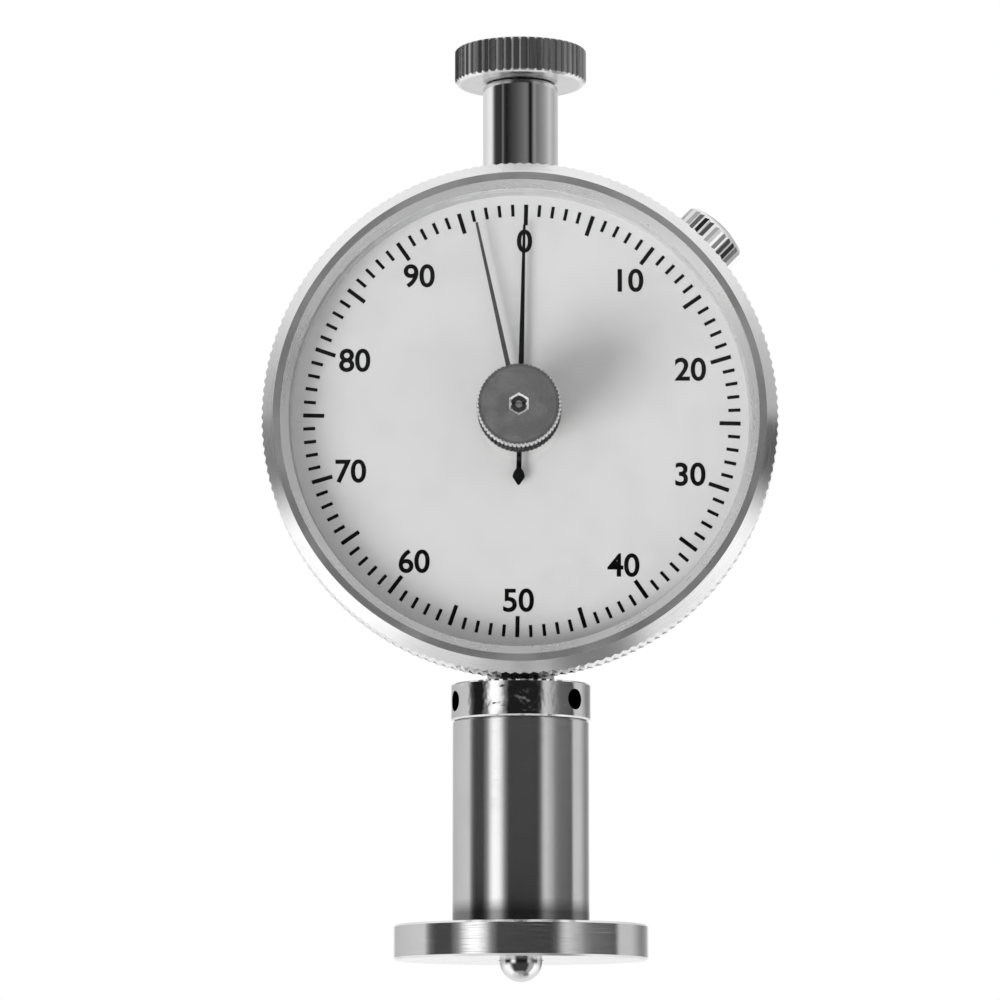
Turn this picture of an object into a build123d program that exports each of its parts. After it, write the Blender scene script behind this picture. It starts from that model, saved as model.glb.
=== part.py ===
"""Dial durometer with a ball indenter: a spindle lifts against a calibrated spring and
turns the pointer through a rack, a wheel and a centre pinion. Millimetres, +Z up along
the spindle, dial facing -Y, origin at the centre of the presser foot's measuring face."""

import math
import os

from build123d import *

os.makedirs("parts", exist_ok=True)

# ---- clearances and fits ----
running_fit = 0.05       # shaft in its bush or pivot, on radius
thread_fit = 0.05        # screwed joints, on radius
bezel_fit = 0.08         # bezel on the case register, on radius
glazing_fit = 0.06       # crystal, dial and rings in the bezel, on radius
body_gap = 0.3           # between pieces that move past one another
step_gap = 0.2           # the same where the room inside is small

# ---- indenter and travel ----
ball_radius = 2.5
ball_reach = 2.5         # how far the ball stands out of the foot at rest
travel = 2.5
ball_shank_radius = 1.1
ball_shank_length = 4.0
indenter_hole_gap = 0.15

# ---- presser foot, barrel and lock ring ----
foot_radius = 14.75
foot_thickness = 4.05
foot_edge = 0.25
spigot_length = 3.3
barrel_radius = 7.95
barrel_length = 23.65
barrel_edge = 0.25
ring_radius = 8.15
ring_height = 4.25
ring_edge = 0.2
tommy_radius = 1.2
tommy_depth = 1.6
tommy_bearing = 51.0     # degrees to the right of the front
tommy_count = 3

# ---- bezel ----
bezel_radius = 30.0
bezel_wall = 2.82
bezel_to_ring_gap = 0.2
bezel_knurl_depth = 0.25
bezel_knurl_teeth = 176
bezel_lip_step = 1.4
bezel_lip_width = 1.0
bezel_knurl_width = 4.66
bezel_cone_width = 1.78
bezel_cone_depth = 1.89
land_width = 0.78
bevel_width = 0.94
bevel_depth = 0.95
window_lip = 0.5
snap_ring_offset = 1.2
snap_ring_thickness = 0.4
snap_ring_bite = 0.3
snap_ring_width = 0.8
snap_ring_slit = 3.0
snap_groove_gap = 0.15

# ---- crystal and dial ----
crystal_thickness = 1.2
spacer_width = 2.04
spacer_wall = 0.6
dial_thickness = 0.6
dial_hole = 1.8
dial_clamp_width = 0.9
dial_clamp_thickness = 0.4

# ---- case ----
drum_front_y = -3.1
drum_depth = 12.1
drum_step = 0.9
drum_wall = 2.0
neck_radius = 6.2
neck_engagement = 5.4
collar_radius = 3.9       # where the neck joins the drum, above the lock ring
boss_radius = 5.2
boss_height = 2.4
register_wall = 1.0
front_web_width = 4.5
front_web_lead = 0.7
front_web_thickness = 1.2
back_web_width = 3.5
back_web_thickness = 1.4
clamp_boss_radius = 3.0
clamp_boss_depth = 2.0
cover_thickness = 1.2
cover_rim = 1.0
cover_dome = 0.5
cover_screw_inset = 1.6
cover_screw_count = 4

# ---- spindle, rack and spring ----
spindle_radius = 2.0
spindle_flat_depth = 0.8
flat_half_length = 13.0
rack_line_x = 1.5
rack_spaces = 13
pin_height = 10.85       # above the dial axis
pin_radius = 0.6
pin_stand_out = 0.6
seat_radius = 5.0
seat_thickness = 1.8
seat_rest_gap = 0.2
wire_radius = 0.5
wire_sides = 6
coil_radius = 4.5
coil_turns = 4.5
spring_end_gap = 0.05
nut_height = 3.8
nut_stand_out = 0.3
nut_slot_width = 1.0
nut_slot_depth = 0.8
lower_bush_gap = 0.6
lower_bush_length = 4.8
lower_bush_radius = 3.0

# ---- wheel train ----
gear_module = travel / (math.pi * 4)
pinion_teeth = 16
wheel_teeth = 64
tooth_share = 0.40       # of the pitch, at the pitch line
addendum = 0.85          # in modules
dedendum = 1.25          # in modules
pressure_angle = 20.0
flank_slope = math.tan(math.radians(pressure_angle))
rack_pinion_length = 2.0
wheel_thickness = 0.5
wheel_to_plate_gap = 0.4
centre_pinion_overlap = 0.1
spoke_count = 4
spoke_width = 0.9
wheel_hub = 1.5
wheel_rim = 1.0
arbor_radius = 0.5
centre_arbor_radius = 0.6
hair_pinion_spaces = 7   # pinion spaces between the two wheels' meshes

# ---- movement plates ----
plate_thickness = 0.8
front_plate_gap = 0.6
front_plate_window = 4.0
front_plate_window_x = 14.0
rear_plate_y = 4.2
rear_plate_side_gap = 7.5   # from the front web's opening to the plate's side
rear_plate_height = 34.0
rear_plate_corner = 4.0
pillar_radius = 1.6
pillar_inset_x = 2.5
pillar_inset_z = 3.0
screw_hole = 0.7
screw_head = 1.3
screw_head_height = 0.5
screw_slot_width = 0.35
screw_slot_depth = 0.25
screw_length = 2.4
web_screw_inset = 1.5
web_screw_count = 3
web_screw_bearing = 30.0
bush_wall = 0.6
bridge_gap = 0.4
bridge_thickness = 0.8
bridge_reach = 4.6
bridge_width = 2.4
bridge_turn = -45.0
post_radius = 0.9

# ---- hairspring ----
collet_radius = 1.1
collet_length = 1.2
hair_turns = 4
hair_strip = 0.12
hair_height = 0.4
hair_y = 0.6
hair_outer = 3.1
hair_steps = 16
stud_radius = 0.35

# ---- pointers ----
pointer_bearing = 1.3
pointer_tip = 22.9
pointer_tip_width = 0.3
pointer_root_width = 0.75
pointer_tail_width = 0.58
pointer_thickness = 0.2
pointer_lift = 0.8
counterweight_start = 5.8
counterweight_shoulder = 6.15
counterweight_shoulder_width = 1.08
counterweight_middle = 6.8
counterweight_end = 7.7
counterweight_width = 1.42
counterweight_point = 0.2
pointer_boss = 1.5
hub_radius = 1.15
hub_front = 0.05
hub_gap = 0.25
arbor_tip = 0.1
drag_bearing = -12.3
drag_tip = 23.6
drag_tip_width = 0.3
drag_root_width = 0.65
drag_boss = 1.6

# ---- centre knob ----
drag_arbor_radius = 0.8
drag_bush_neck = 1.7
drag_bush_flange = 4.0
drag_bush_height = 3.76
bush_nut_radius = 2.6
bush_nut_thickness = 0.35
washer_thickness = 0.15
centre_knob_lift = 0.55
centre_knob_radius = 4.82
centre_knob_length = 5.18
centre_knob_taper = 0.18
centre_knob_taper_length = 1.2
centre_knob_teeth = 60
centre_knob_knurl = 0.15
knob_recess_radius = 1.28   # to the corners
knob_recess_sides = 6
knob_recess_turn = 30.0     # puts a corner at the top
knob_recess_depth = 0.6
knob_screw_head = 0.9
knob_screw_thread = 0.45
knob_screw_length = 2.5
knob_screw_height = 0.4

# ---- bezel clamp ----
clamp_bearing = 44.3     # degrees clockwise from the top, seen from the front
clamp_y = 1.6
clamp_screw_radius = 1.2
clamp_knob_radius = 4.15
clamp_knob_length = 3.85
clamp_knob_dome = 0.7
clamp_knob_edge = 0.5
clamp_knob_teeth = 30
clamp_knob_knurl = 0.25
shoe_width = 6.0
shoe_thickness = 1.9
shoe_back = 3.6

# ---- top stem and knob ----
stem_radius = 4.45
stem_length = 10.65
stem_edge = 0.35
shank_radius = 2.65
shank_length = 3.95
upper_bush_length = 3.0
upper_bush_lift = 1.05
upper_bush_radius = 2.9
spindle_in_bush = 1.4
cavity_radius = 2.5
knob_seat_gap = 0.1
top_knob_radius = 7.77
top_knob_height = 4.15
top_knob_edge = 0.15
top_knob_under_edge = 0.3
top_knob_teeth = 52
top_knob_knurl = 0.22
knob_thread_length = 4.6

# ---- shared places along the spindle ----
spigot_top_z = foot_thickness + spigot_length
barrel_top_z = foot_thickness + barrel_length
ring_top_z = barrel_top_z + ring_height
barrel_bore = neck_radius + thread_fit
dial_z = ring_top_z + bezel_to_ring_gap + bezel_radius
neck_bottom_z = barrel_top_z - neck_engagement
spring_top_z = neck_bottom_z - nut_stand_out
nut_top_z = spring_top_z + nut_height
lower_bush_z = nut_top_z + lower_bush_gap
lower_bush_top_z = lower_bush_z + lower_bush_length
seat_bottom_z = spigot_top_z + seat_rest_gap
seat_top_z = seat_bottom_z + seat_thickness
ball_z = ball_radius - ball_reach
spindle_bottom_z = ball_z + ball_radius + step_gap
spindle_bore = spindle_radius + step_gap / 2
pin_z = dial_z + pin_height

# ---- shared radii about the dial axis ----
bezel_bore = bezel_radius - bezel_wall
register_radius = bezel_bore - bezel_fit
register_bore = register_radius - register_wall
drum_radius = register_radius + drum_step
drum_bore = drum_radius - drum_wall
front_plate_radius = register_bore - front_plate_gap
front_web_inner = front_plate_radius - front_web_width
web_screw_radius = front_plate_radius - web_screw_inset
back_web_inner = drum_bore - back_web_width
rear_plate_width = 2 * (front_web_inner - rear_plate_side_gap)
cover_screw_radius = back_web_inner + cover_screw_inset
cover_radius = drum_radius - cover_rim - thread_fit
bezel_lip_radius = bezel_radius - bezel_lip_step
land_outer = bezel_radius - bezel_cone_width
land_inner = land_outer - land_width
window_radius = land_inner - bevel_width
glazing_radius = bezel_bore - glazing_fit
snap_ring_inner = register_radius - snap_ring_bite
snap_ring_outer = snap_ring_inner + snap_ring_width
boss_top_z = dial_z + drum_radius + boss_height
shank_bottom_z = boss_top_z - shank_length
upper_bush_z = boss_top_z + upper_bush_lift
upper_bush_top_z = upper_bush_z + upper_bush_length
spindle_top_z = upper_bush_z + spindle_in_bush
stem_top_z = boss_top_z + stem_length
knob_under_z = stem_top_z + knob_seat_gap
knob_top_z = knob_under_z + top_knob_height
knob_thread_radius = cavity_radius - thread_fit
shoe_top = drum_radius + shoe_thickness
clamp_knob_base = shoe_top + body_gap
clamp_knob_end = clamp_knob_base + clamp_knob_length
clamp_screw_tip = drum_bore - clamp_boss_depth

# ---- shared depths, front negative ----
drum_back_y = drum_front_y + drum_depth
cover_seat_y = drum_back_y - cover_thickness
cover_top_y = drum_back_y + cover_dome
back_web_front_y = cover_seat_y - back_web_thickness
front_web_front_y = drum_front_y - front_web_lead
front_web_back_y = front_web_front_y + front_web_thickness
front_plate_front_y = front_web_front_y - plate_thickness
rear_plate_back_y = rear_plate_y + plate_thickness
bezel_back_y = drum_front_y - body_gap
bezel_knurl_back_y = bezel_back_y - bezel_lip_width
bezel_knurl_front_y = bezel_knurl_back_y - bezel_knurl_width
land_y = bezel_knurl_front_y - bezel_cone_depth
window_front_y = land_y + bevel_depth
window_back_y = window_front_y + window_lip
crystal_front_y = window_back_y + glazing_fit
crystal_back_y = crystal_front_y + crystal_thickness
dial_face_y = crystal_back_y + spacer_width
dial_back_y = dial_face_y + dial_thickness
dial_clamp_back_y = dial_back_y + dial_clamp_thickness
register_front_y = dial_clamp_back_y + step_gap
snap_ring_y = drum_front_y - snap_ring_offset
snap_ring_front_y = snap_ring_y - snap_ring_thickness / 2
snap_ring_back_y = snap_ring_y + snap_ring_thickness / 2
wheel_front_y = front_web_front_y + wheel_to_plate_gap
wheel_back_y = wheel_front_y + wheel_thickness
bridge_front_y = wheel_back_y + bridge_gap
bridge_y = bridge_front_y + bridge_thickness
spindle_flat_y = spindle_flat_depth - spindle_radius
pin_reach = rear_plate_back_y + pin_stand_out
pointer_y = dial_face_y - pointer_lift
hub_back_y = dial_face_y - hub_gap
hub_front_y = pointer_y - pointer_thickness - hub_front
centre_arbor_tip_y = hub_front_y - arbor_tip
drag_y = centre_arbor_tip_y - step_gap
drag_bush_front_y = crystal_front_y - drag_bush_height
drag_bush_back_y = crystal_back_y + bush_nut_thickness
centre_knob_back_y = drag_bush_front_y - centre_knob_lift
centre_knob_front_y = centre_knob_back_y - centre_knob_length
knob_floor_y = centre_knob_front_y + knob_recess_depth
nose_front_y = bezel_knurl_back_y + body_gap
shoe_back_y = clamp_y + shoe_back


def spindle_turned(profile):
    """A solid turned about the spindle axis from (radius, z) points."""
    face = make_face(Polyline([(r, 0, z) for r, z in profile], close=True))
    return revolve(face, Axis.Z)


def dial_turned(profile):
    """A solid turned about the dial axis from (radius, y) points."""
    face = make_face(Polyline([(r, y, dial_z) for r, y in profile], close=True))
    return revolve(face, Axis((0, 0, dial_z), (0, 1, 0)))


def upright(radius, low, high, x=0.0, y=0.0):
    """A cylinder along Z."""
    cylinder = Cylinder(radius, high - low, align=(Align.CENTER, Align.CENTER, Align.MIN))
    return Pos(x, y, low) * cylinder


def level(radius, front, back, x=0.0, z=dial_z):
    """A cylinder along Y, from its front to its back."""
    cylinder = Cylinder(radius, back - front, align=(Align.CENTER, Align.CENTER, Align.MIN))
    return Pos(x, front, z) * Rot(-90, 0, 0) * cylinder


def block(low, high):
    """A box between two corners."""
    size = [b - a for a, b in zip(low, high)]
    middle = [(a + b) / 2 for a, b in zip(low, high)]
    return Pos(*middle) * Box(*size)


def around(radius, bearing):
    """The x and z of a point on a circle about the dial axis, bearing from the top."""
    angle = math.radians(bearing)
    return radius * math.sin(angle), dial_z + radius * math.cos(angle)


def dial_plane(y, x=0.0, z=dial_z):
    """A plane facing the viewer, its own x to the right and its y up."""
    return Plane(origin=(x, y, z), x_dir=(1, 0, 0), z_dir=(0, -1, 0))


def toothed(radius, depth, count, thickness, plane=Plane.XY):
    """A straight-knurled disc: a star outline, pushed along the plane's normal."""
    points = []
    for step in range(count):
        angle = 2 * math.pi * step / count
        half = math.pi / count
        points.append((radius * math.cos(angle), radius * math.sin(angle)))
        root = radius - depth
        points.append((root * math.cos(angle + half), root * math.sin(angle + half)))
    return extrude(plane * make_face(Polyline(points, close=True)), thickness)


def gear_blank(count, first_tooth):
    """The outline of a small gear, with one tooth centred on first_tooth degrees."""
    pitch_radius = gear_module * count / 2
    tip = pitch_radius + addendum * gear_module
    root = pitch_radius - dedendum * gear_module
    half_pitch = math.pi * gear_module * tooth_share / 2
    tip_half = (half_pitch - addendum * gear_module * flank_slope) / tip
    root_half = (half_pitch + dedendum * gear_module * flank_slope) / root
    points = []
    for step in range(count):
        middle = math.radians(first_tooth) + 2 * math.pi * step / count
        corners = [(root, -root_half), (tip, -tip_half), (tip, tip_half), (root, root_half)]
        for radius, turn in corners:
            points.append((radius * math.cos(middle + turn), radius * math.sin(middle + turn)))
    return make_face(Polyline(points, close=True))


def gear(count, first_tooth, front, back, x, z):
    """A small gear along Y; first_tooth is counter-clockwise from the right."""
    return extrude(dial_plane(back, x, z) * gear_blank(count, first_tooth), back - front)


def slotted_head(x, z, seat, side, radius, height, length, hole):
    """A cheese-head screw along Y; side is -1 for a head at the front, +1 at the back."""
    top = seat + side * height
    head = level(radius, min(seat, top), max(seat, top), x, z)
    slot_floor = top - side * screw_slot_depth
    slot = block((x - radius, min(slot_floor, top), z - screw_slot_width / 2),
                 (x + radius, max(slot_floor, top), z + screw_slot_width / 2))
    end = seat - side * length
    return head - slot + level(hole, min(seat, end), max(seat, end), x, z)


def cheese_head(x, z, seat, side, length):
    """The movement's and the cover's small screw."""
    return slotted_head(x, z, seat, side, screw_head, screw_head_height, length, screw_hole)


def blade(tip, tip_width, root_width, y):
    """A tapered pointer blade standing up from the dial axis."""
    outline = [(-root_width / 2, 0), (root_width / 2, 0), (tip_width / 2, tip), (-tip_width / 2, tip)]
    return extrude(dial_plane(y) * make_face(Polyline(outline, close=True)), pointer_thickness)


def turned_to(shape, bearing):
    """A shape turned clockwise about the dial axis, seen from the front."""
    return shape.rotate(Axis((0, 0, dial_z), (0, 1, 0)), bearing)


# ---- places of the wheel train, the screws and the clamp ----
pinion_pitch = gear_module * pinion_teeth / 2
wheel_pitch = gear_module * wheel_teeth / 2
train_distance = pinion_pitch + wheel_pitch
train_x = -rack_line_x - pinion_pitch
train_z = dial_z - math.sqrt(train_distance ** 2 - train_x ** 2)
train_angle = math.degrees(math.atan2(dial_z - train_z, -train_x))
pinion_step = 360 / pinion_teeth
hair_angle = train_angle - 180 + hair_pinion_spaces * pinion_step
hair_x = train_distance * math.cos(math.radians(hair_angle))
hair_z = dial_z + train_distance * math.sin(math.radians(hair_angle))
arbor_places = [(train_x, train_z), (hair_x, hair_z)]
web_screw_places = [around(web_screw_radius, web_screw_bearing + 360 * i / web_screw_count)
                    for i in range(web_screw_count)]
cover_screw_places = [around(cover_screw_radius, 360 * (i + 0.5) / cover_screw_count)
                      for i in range(cover_screw_count)]
pillar_x = rear_plate_width / 2 - pillar_inset_x
pillar_z = rear_plate_height / 2 - pillar_inset_z
pillar_places = [(x, dial_z + z) for x in (-pillar_x, pillar_x) for z in (-pillar_z, pillar_z)]
post_places = [(-bridge_reach, dial_z + bridge_reach), (bridge_reach, dial_z - bridge_reach)]
pivot_hole = arbor_radius + running_fit
centre_hole = centre_arbor_radius + running_fit
clamp_angle = math.radians(clamp_bearing)
clamp_plane = Plane(
    origin=(0, clamp_y, dial_z),
    x_dir=(0, 1, 0),
    z_dir=(math.sin(clamp_angle), 0, math.cos(clamp_angle)),
)


def on_clamp(radius, low, high):
    """A cylinder along the clamp screw, between two distances from the dial axis."""
    cylinder = Cylinder(radius, high - low, align=(Align.CENTER, Align.CENTER, Align.MIN))
    return clamp_plane * Pos(0, 0, low) * cylinder


# ---- presser foot: a flanged disc with a threaded spigot for the barrel ----
foot = upright(foot_radius, 0, foot_thickness)
foot = chamfer(foot.edges().filter_by(GeomType.CIRCLE), foot_edge)
foot += upright(neck_radius, foot_thickness, spigot_top_z)
foot -= upright(ball_radius + indenter_hole_gap, 0, spigot_top_z)
export_step(foot, "parts/presser_foot.step")

# ---- barrel: a plain sleeve from the foot up to the lock ring ----
barrel = upright(barrel_radius, foot_thickness, barrel_top_z)
barrel = chamfer(barrel.edges().filter_by(GeomType.CIRCLE), barrel_edge)
barrel -= upright(barrel_bore, foot_thickness, barrel_top_z)
export_step(barrel, "parts/barrel.step")

# ---- lock ring: jams the barrel on the case neck, turned with a bar in its holes ----
lock_ring = upright(ring_radius, barrel_top_z, ring_top_z)
lock_ring = chamfer(lock_ring.edges().filter_by(GeomType.CIRCLE), ring_edge)
lock_ring -= upright(barrel_bore, barrel_top_z, ring_top_z)
tommy = Pos(0, ring_radius - tommy_depth, 0) * Rot(-90, 0, 0) * Cylinder(
    tommy_radius, 2 * tommy_depth, align=(Align.CENTER, Align.CENTER, Align.MIN))
for index in range(tommy_count):
    turn = 180 + tommy_bearing + 360 * index / tommy_count
    lock_ring -= Pos(0, 0, barrel_top_z + ring_height / 2) * Rot(0, 0, turn) * tommy
export_step(lock_ring, "parts/lock_ring.step")

# ---- case body: drum, two inner webs, front register, neck and top boss in one casting ----
case = dial_turned([
    (drum_bore, drum_front_y),
    (drum_bore, drum_back_y),
    (drum_radius, drum_back_y),
    (drum_radius, drum_front_y),
])
case += upright(neck_radius, neck_bottom_z, ring_top_z)
case += upright(collar_radius, ring_top_z, dial_z - drum_bore)
case += upright(boss_radius, dial_z + drum_bore, boss_top_z)
above_ring = block((-drum_radius, -drum_radius, ring_top_z), (drum_radius, drum_front_y, boss_top_z))
case -= above_ring
case -= level(drum_bore, drum_front_y, drum_back_y)
case += dial_turned([
    (back_web_inner, back_web_front_y),
    (back_web_inner, cover_seat_y),
    (drum_bore, cover_seat_y),
    (drum_bore, back_web_front_y),
])
case += dial_turned([
    (front_web_inner, front_web_front_y),
    (front_web_inner, front_web_back_y),
    (drum_radius, front_web_back_y),
    (drum_radius, drum_front_y),
    (register_radius, drum_front_y),
    (register_radius, snap_ring_back_y),
    (snap_ring_inner, snap_ring_back_y),
    (snap_ring_inner, snap_ring_front_y),
    (register_radius, snap_ring_front_y),
    (register_radius, register_front_y),
    (register_bore, register_front_y),
    (register_bore, front_web_front_y),
])
case += on_clamp(clamp_boss_radius, clamp_screw_tip, drum_radius - drum_wall / 2)
case -= on_clamp(clamp_screw_radius + running_fit, clamp_screw_tip, shoe_top)
case -= dial_turned([
    (0, cover_seat_y),
    (0, drum_back_y),
    (drum_radius - cover_rim, drum_back_y),
    (drum_radius - cover_rim, cover_seat_y),
])
case -= upright(spindle_bore, neck_bottom_z, boss_top_z)
case -= upright(seat_radius + thread_fit, neck_bottom_z, nut_top_z)
case -= upright(lower_bush_radius, nut_top_z, lower_bush_top_z)
case -= upright(shank_radius, shank_bottom_z, boss_top_z)
for x, z in web_screw_places:
    case -= level(screw_hole, front_web_front_y, front_web_back_y, x, z)
for x, z in cover_screw_places:
    case -= level(screw_hole, back_web_front_y, drum_back_y, x, z)
export_step(case, "parts/case_body.step")

# ---- back cover: a shallow domed disc set into the drum's rim ----
back_cover = dial_turned([
    (0, cover_seat_y),
    (0, cover_top_y),
    (cover_radius - cover_thickness, cover_top_y),
    (cover_radius, drum_back_y),
    (cover_radius, cover_seat_y),
])
cover_screws = []
for x, z in cover_screw_places:
    head_seat_y = cover_top_y - screw_head_height
    back_cover -= level(screw_head + thread_fit, head_seat_y, cover_top_y, x, z)
    back_cover -= level(screw_hole, cover_seat_y, head_seat_y, x, z)
    cover_screws.append(cheese_head(x, z, head_seat_y, 1, screw_length))
export_step(back_cover, "parts/back_cover.step")
export_step(Compound(cover_screws), "parts/cover_screws.step")

# ---- bezel: turned ring with a straight knurl, a front cone, a flat land and an inner bevel ----
bezel = dial_turned([
    (bezel_bore, bezel_back_y),
    (bezel_lip_radius, bezel_back_y),
    (bezel_lip_radius, bezel_knurl_back_y),
    (bezel_radius, bezel_knurl_back_y),
    (bezel_radius, bezel_knurl_front_y),
    (land_outer, land_y),
    (land_inner, land_y),
    (window_radius, window_front_y),
    (window_radius, window_back_y),
    (bezel_bore, window_back_y),
])
bezel_depth = bezel_back_y - land_y
bezel &= toothed(bezel_radius, bezel_knurl_depth, bezel_knurl_teeth, bezel_depth, dial_plane(bezel_back_y))
groove_half = snap_ring_thickness / 2 + snap_groove_gap
bezel -= dial_turned([
    (bezel_bore - body_gap, snap_ring_y - groove_half),
    (bezel_bore - body_gap, snap_ring_y + groove_half),
    (snap_ring_outer + snap_groove_gap, snap_ring_y + groove_half),
    (snap_ring_outer + snap_groove_gap, snap_ring_y - groove_half),
])
export_step(bezel, "parts/bezel.step")

# ---- bezel retaining ring: a split flat ring in the case groove ----
snap_ring = level(snap_ring_outer, snap_ring_front_y, snap_ring_back_y)
snap_ring -= level(snap_ring_inner, snap_ring_front_y, snap_ring_back_y)
snap_ring -= block((-snap_ring_slit / 2, snap_ring_front_y, dial_z - bezel_radius),
                   (snap_ring_slit / 2, snap_ring_back_y, dial_z))
export_step(snap_ring, "parts/bezel_retaining_ring.step")

# ---- crystal, spacer ring, dial plate and dial clamp ring, stacked from the front ----
crystal = level(glazing_radius, crystal_front_y, crystal_back_y)
crystal -= level(drag_bush_neck, crystal_front_y, crystal_back_y)
export_step(crystal, "parts/crystal.step")
spacer = level(glazing_radius, crystal_back_y, dial_face_y)
spacer -= level(glazing_radius - spacer_wall, crystal_back_y, dial_face_y)
export_step(spacer, "parts/crystal_spacer_ring.step")
dial = level(glazing_radius, dial_face_y, dial_back_y) - level(dial_hole, dial_face_y, dial_back_y)
export_step(dial, "parts/dial_plate.step")
dial_clamp = level(glazing_radius, dial_back_y, dial_clamp_back_y)
dial_clamp -= level(glazing_radius - dial_clamp_width, dial_back_y, dial_clamp_back_y)
export_step(dial_clamp, "parts/dial_clamp_ring.step")

# ---- spindle: ground rod with a front flat, rack teeth on the left and the ball's socket ----
spindle = upright(spindle_radius, spindle_bottom_z, spindle_top_z)
spindle = chamfer(spindle.edges().filter_by(GeomType.CIRCLE).sort_by(Axis.Z)[-1], body_gap)
flat_low = dial_z - flat_half_length
flat_high = dial_z + flat_half_length - travel
spindle -= block((-spindle_radius, -spindle_radius, flat_low), (spindle_radius, spindle_flat_y, flat_high))
rack_tip_x = -rack_line_x - addendum * gear_module
rack_root_x = -rack_line_x + dedendum * gear_module
rack_pitch = math.pi * gear_module
rack_low = train_z - rack_pitch * (rack_spaces // 2 + 1)
rack_high = train_z + rack_pitch * (rack_spaces // 2 + 1)
spindle -= block((-spindle_radius, -spindle_radius, rack_low), (rack_tip_x, spindle_radius, rack_high))
space_root = rack_pitch * (1 - tooth_share) / 2 - dedendum * gear_module * flank_slope
space_tip = rack_pitch * (1 - tooth_share) / 2 + addendum * gear_module * flank_slope
tooth_space = extrude(Plane.XZ * make_face(Polyline([
    (rack_root_x, -space_root),
    (rack_root_x, space_root),
    (rack_tip_x, space_tip),
    (rack_tip_x, -space_tip),
], close=True)), spindle_radius, both=True)
for index in range(rack_spaces):
    spindle -= Pos(0, 0, train_z + rack_pitch * (index - rack_spaces // 2)) * tooth_space
spindle -= upright(ball_shank_radius, spindle_bottom_z, spindle_bottom_z + ball_shank_length)
spindle -= level(pin_radius, 0, spindle_radius, 0, pin_z)
export_step(spindle, "parts/spindle.step")

# ---- ball indenter: a polished ball on a shank pressed into the spindle ----
ball = Pos(0, 0, ball_z) * Sphere(ball_radius)
ball += upright(ball_shank_radius, ball_z, spindle_bottom_z + ball_shank_length)
export_step(ball, "parts/ball_indenter.step")

# ---- guide pin: keeps the spindle from turning, in the rear plate's slot ----
export_step(level(pin_radius, 0, pin_reach, 0, pin_z), "parts/guide_pin.step")

# ---- spring seat, calibrated spring and adjusting nut ----
seat = spindle_turned([
    (spindle_radius, seat_bottom_z),
    (seat_radius - seat_thickness / 2, seat_bottom_z),
    (seat_radius, seat_bottom_z + seat_thickness / 2),
    (seat_radius, seat_top_z),
    (spindle_radius, seat_top_z),
])
export_step(seat, "parts/spring_seat.step")
coil_low = seat_top_z + spring_end_gap + wire_radius
coil_high = spring_top_z - wire_radius
coil_path = Helix(pitch=(coil_high - coil_low) / coil_turns, height=coil_high - coil_low, radius=coil_radius)
coil_start = Plane(origin=coil_path @ 0, z_dir=coil_path % 0)
wire_section = coil_start * RegularPolygon(wire_radius, wire_sides)
spring = Pos(0, 0, coil_low) * sweep(wire_section, path=coil_path)
export_step(spring, "parts/calibrated_spring.step")
nut = upright(seat_radius, spring_top_z, nut_top_z) - upright(spindle_bore, spring_top_z, nut_top_z)
nut -= block((-seat_radius, -nut_slot_width / 2, spring_top_z),
             (seat_radius, nut_slot_width / 2, spring_top_z + nut_slot_depth))
export_step(nut, "parts/spring_adjusting_nut.step")

# ---- guide bushes: one in the case neck, one in the top stem ----
lower_bush = upright(lower_bush_radius, lower_bush_z, lower_bush_top_z)
lower_bush -= upright(spindle_radius + running_fit, lower_bush_z, lower_bush_top_z)
export_step(lower_bush, "parts/lower_guide_bush.step")
upper_bush = upright(upper_bush_radius, upper_bush_z, upper_bush_top_z)
upper_bush -= upright(spindle_radius + running_fit, upper_bush_z, upper_bush_top_z)
export_step(upper_bush, "parts/upper_guide_bush.step")

# ---- top stem: a tube on the case boss, tapped for the top knob ----
stem = upright(stem_radius, boss_top_z, stem_top_z)
stem = chamfer(stem.edges().filter_by(GeomType.CIRCLE).sort_by(Axis.Z)[-1], stem_edge)
stem += upright(shank_radius, shank_bottom_z, boss_top_z)
stem -= upright(spindle_bore, shank_bottom_z, stem_top_z)
stem -= upright(upper_bush_radius, upper_bush_z, upper_bush_top_z)
stem -= upright(cavity_radius, upper_bush_top_z, stem_top_z)
export_step(stem, "parts/top_stem.step")

# ---- top knob: straight-knurled cap that screws into the stem ----
top_knob = spindle_turned([
    (0, knob_under_z),
    (top_knob_radius - top_knob_under_edge, knob_under_z),
    (top_knob_radius, knob_under_z + top_knob_under_edge),
    (top_knob_radius, knob_top_z - top_knob_edge),
    (top_knob_radius - top_knob_edge, knob_top_z),
    (0, knob_top_z),
])
top_knob &= toothed(top_knob_radius, top_knob_knurl, top_knob_teeth, top_knob_height,
                    Plane.XY.offset(knob_under_z))
top_knob += upright(knob_thread_radius, knob_under_z - knob_thread_length, knob_under_z)
export_step(top_knob, "parts/top_knob.step")

# ---- front plate: carries the movement, screwed to the case's front web ----
front_plate = level(front_plate_radius, front_plate_front_y, front_web_front_y)
for side in (-1, 1):
    window_x = side * front_plate_window_x
    front_plate -= level(front_plate_window, front_plate_front_y, front_web_front_y, window_x)
for x, z in arbor_places:
    front_plate -= level(pivot_hole + bush_wall, front_plate_front_y, front_web_front_y, x, z)
front_plate -= level(centre_hole + bush_wall, front_plate_front_y, front_web_front_y)
for x, z in web_screw_places + pillar_places + post_places:
    front_plate -= level(screw_hole, front_plate_front_y, front_web_front_y, x, z)
export_step(front_plate, "parts/front_plate.step")

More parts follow.
